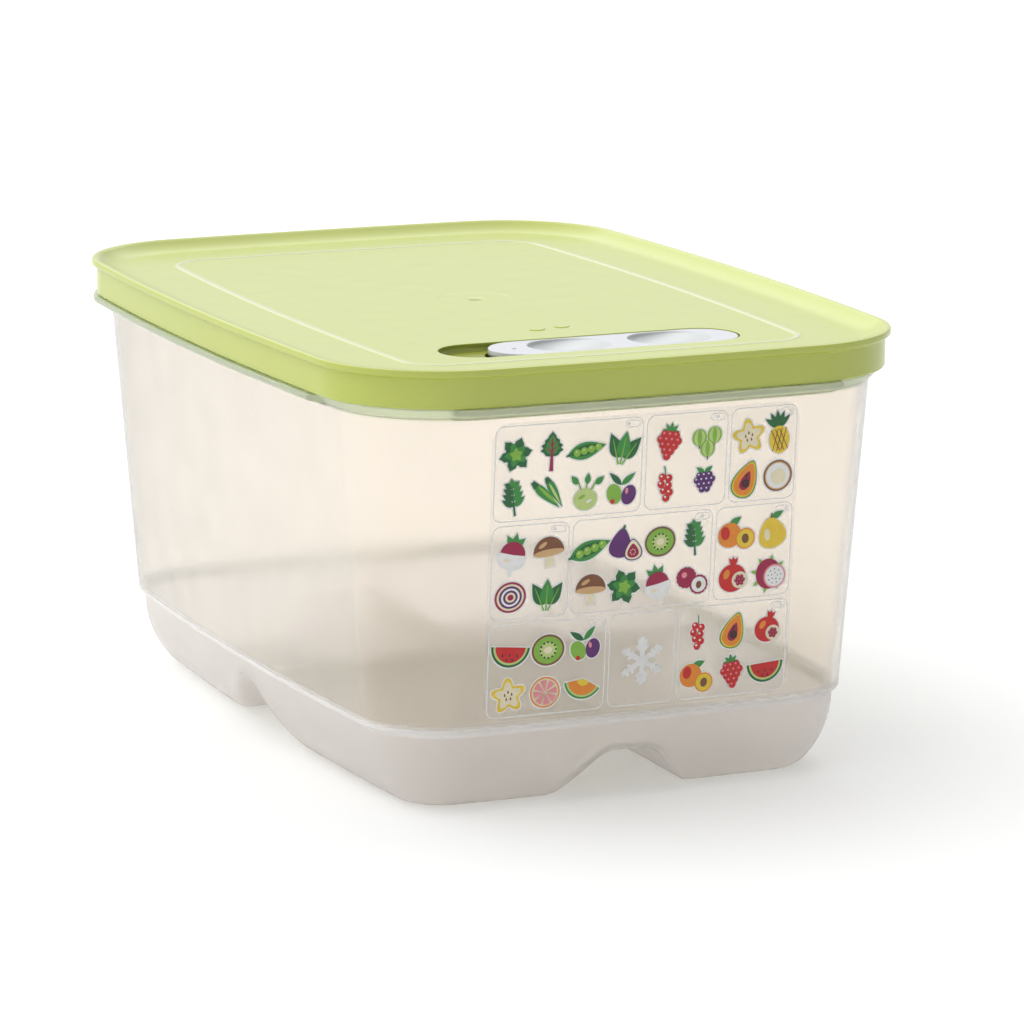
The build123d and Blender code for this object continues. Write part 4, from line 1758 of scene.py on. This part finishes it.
def make_world(stage):
    """Even white surround that is stronger on one side and plain white where it is seen."""
    world = bpy.data.worlds.new("studio")
    sky = ShaderNodes(world)
    direction = sky.put("TexCoord").outputs["Generated"]
    towards = sky.put("VectorMath", {0: direction, 1: GLOW_FROM}, operation="DOT_PRODUCT")
    low, high = [stage.surround * share for share in GLOW_SHARES]
    around = sky.ranged(towards.outputs["Value"], GLOW_START, 1.0, low, high)
    background = sky.nodes["Background"].inputs
    sky.feed(background["Color"], (1, 1, 1))
    sky.feed(background["Strength"], sky.ranged(sky.seen_directly(), 0.0, 1.0, around, 1.0))
    bpy.context.scene.world = world


def floor_material():
    """White floor that keeps the keeper's shadow."""
    material = bpy.data.materials.new("studio_floor")
    floor = ShaderNodes(material)
    floor.nodes.remove(floor.nodes["Principled BSDF"])
    through = floor.math(
        "MULTIPLY", floor.put("LightPath").outputs["Is Transmission Ray"], FLOOR_LIFT_THROUGH)
    lift = floor.math("MULTIPLY_ADD", floor.seen_directly(), FLOOR_LIFT, through)
    paint = floor.put("BsdfDiffuse", {"Color": (FLOOR_WHITE,) * 3})
    glow = floor.put("Emission", {"Strength": lift})
    both = floor.put("AddShader", {0: paint.outputs[0], 1: glow.outputs[0]})
    floor.feed(floor.nodes["Material Output"].inputs["Surface"], both.outputs[0])
    return material


def make_floor():
    mesh = bpy.data.meshes.new("floor")
    half = FLOOR_SIZE / 2
    corners = [(half * x, half * y, FLOOR_Z) for x, y in ((-1, -1), (1, -1), (1, 1), (-1, 1))]
    mesh.from_pydata(corners, [], [(0, 1, 2, 3)])
    mesh.materials.append(floor_material())
    floor = bpy.data.objects.new("floor", mesh)
    show(floor)


def make_key_light(stage):
    """One wide soft sun from behind and above."""
    data = bpy.data.lights.new("key", "SUN")
    data.energy = stage.key
    data.angle = KEY_ANGLE
    light = bpy.data.objects.new("key", data)
    light.rotation_euler = Vector(KEY_FROM).to_track_quat("Z", "Y").to_euler()
    show(light)


# Operators, one for each piece and one for the stage

class KEEPER_OT_container(bpy.types.Operator):
    """Build the clear container with its rim, finger grips, frosted foot tray and feet"""

    bl_idname = "mesh.keeper_container"
    bl_label = "Container"

    def execute(self, context):
        piece = finish_piece(
            container_mesh(), "clear_container", "container", "clear_plastic", clear_plastic())
        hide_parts("container")
        return {"FINISHED"}


class KEEPER_OT_lid(bpy.types.Operator):
    """Build the lid with its rolled lip, skirt, ridge, seal ring, vent well and arc marks"""

    bl_idname = "mesh.keeper_lid"
    bl_label = "Lid"

    def execute(self, context):
        colour = tuple(colours().lid)
        # The ridge is painted paler as a highlight
        share, added = RIDGE_HIGHLIGHT
        highlit_ridge = [share * part + added for part in colour]
        plastic = lime_plastic("lime_plastic", colour, LIME_ROUGHNESS)
        pale = lime_plastic("lime_plastic_ridge_highlight", highlit_ridge, RIDGE_ROUGHNESS)
        # The well and the gate pit are painted darker as shade
        well_shade = lime_plastic("lime_plastic_well_shade", tinted(colour, WELL_PAINTED_SHADE), WELL_ROUGHNESS)
        piece = finish_piece(lid_mesh(), "lime_lid", "lid", "lid_plastic", plastic, pale, well_shade)
        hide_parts("lid")
        finish_piece(arc_marks_mesh(), "lid_arc_marks", "lid", "lid_plastic", plastic)
        return {"FINISHED"}


class KEEPER_OT_slider(bpy.types.Operator):
    """Build the vent slider with its two thumb scoops, tongues and pip"""

    bl_idname = "mesh.keeper_slider"
    bl_label = "Vent slider"

    def execute(self, context):
        colour = tuple(colours().slider)
        plastic = white_plastic("white_plastic", colour)
        # The scoops are painted darker as shade
        hollow = white_plastic("white_plastic_scoop_shade", tinted(colour, SCOOP_PAINTED_SHADE))
        piece = finish_piece(
            slider_mesh(), "white_vent_slider", "slider", "slider_plastic", plastic, hollow)
        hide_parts("vent_slider")
        return {"FINISHED"}


class KEEPER_OT_chart(bpy.types.Operator):
    """Build the clear film on the front wall and the panels printed on it"""

    bl_idname = "mesh.keeper_chart"
    bl_label = "Chart"

    def execute(self, context):
        film = finish_piece(
            film_mesh(), "clear_chart_film", "container", "chart_film", chart_film())
        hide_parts("produce_chart_label")
        inks = {}
        for number, (name, *panel) in enumerate(PANELS):
            made = panel_print(number, *panel)
            for colour in made.inks:
                if colour not in inks:
                    inks[colour] = ink(colour)
            used = [inks[colour] for colour in made.inks]
            finish_piece(made.bm, name, "container", "chart_film", *used)
        return {"FINISHED"}


class KEEPER_OT_stage(bpy.types.Operator):
    """Set up the white floor, the soft light and the camera"""

    bl_idname = "scene.keeper_stage"
    bl_label = "Stage"

    def execute(self, context):
        stage = context.scene.keeper_stage
        make_floor()
        make_world(stage)
        make_key_light(stage)
        make_camera(stage)
        context.scene.view_settings.view_transform = "Standard"
        return {"FINISHED"}


class KEEPER_PT_panel(bpy.types.Panel):
    """Lists the keeper's pieces and settings"""

    bl_idname = "KEEPER_PT_panel"
    bl_label = "Produce Keeper"
    bl_space_type = "VIEW_3D"
    bl_region_type = "UI"
    bl_category = "Keeper"

    def draw(self, context):
        layout = self.layout
        for operator in OPERATORS:
            layout.operator(operator.bl_idname)
        for group in (sizes(), colours(), context.scene.keeper_stage):
            column = layout.column()
            for name in group.bl_rna.properties.keys():
                if name not in ("rna_type", "name"):
                    column.prop(group, name)


GROUPS = (KeeperSizes, KeeperColours, KeeperStage)
OPERATORS = (
    KEEPER_OT_container, KEEPER_OT_lid, KEEPER_OT_slider, KEEPER_OT_chart, KEEPER_OT_stage)
CLASSES = GROUPS + OPERATORS + (KEEPER_PT_panel,)


def register():
    for cls in CLASSES:
        bpy.utils.register_class(cls)
    bpy.types.Scene.keeper_sizes = PointerProperty(type=KeeperSizes)
    bpy.types.Scene.keeper_colours = PointerProperty(type=KeeperColours)
    bpy.types.Scene.keeper_stage = PointerProperty(type=KeeperStage)


def unregister():
    del bpy.types.Scene.keeper_sizes
    del bpy.types.Scene.keeper_colours
    del bpy.types.Scene.keeper_stage
    for cls in reversed(CLASSES):
        bpy.utils.unregister_class(cls)


def main():
    register()
    bpy.ops.mesh.keeper_container()
    bpy.ops.mesh.keeper_lid()
    bpy.ops.mesh.keeper_slider()
    bpy.ops.mesh.keeper_chart()
    bpy.ops.scene.keeper_stage()


if __name__ == "__main__":
    main()
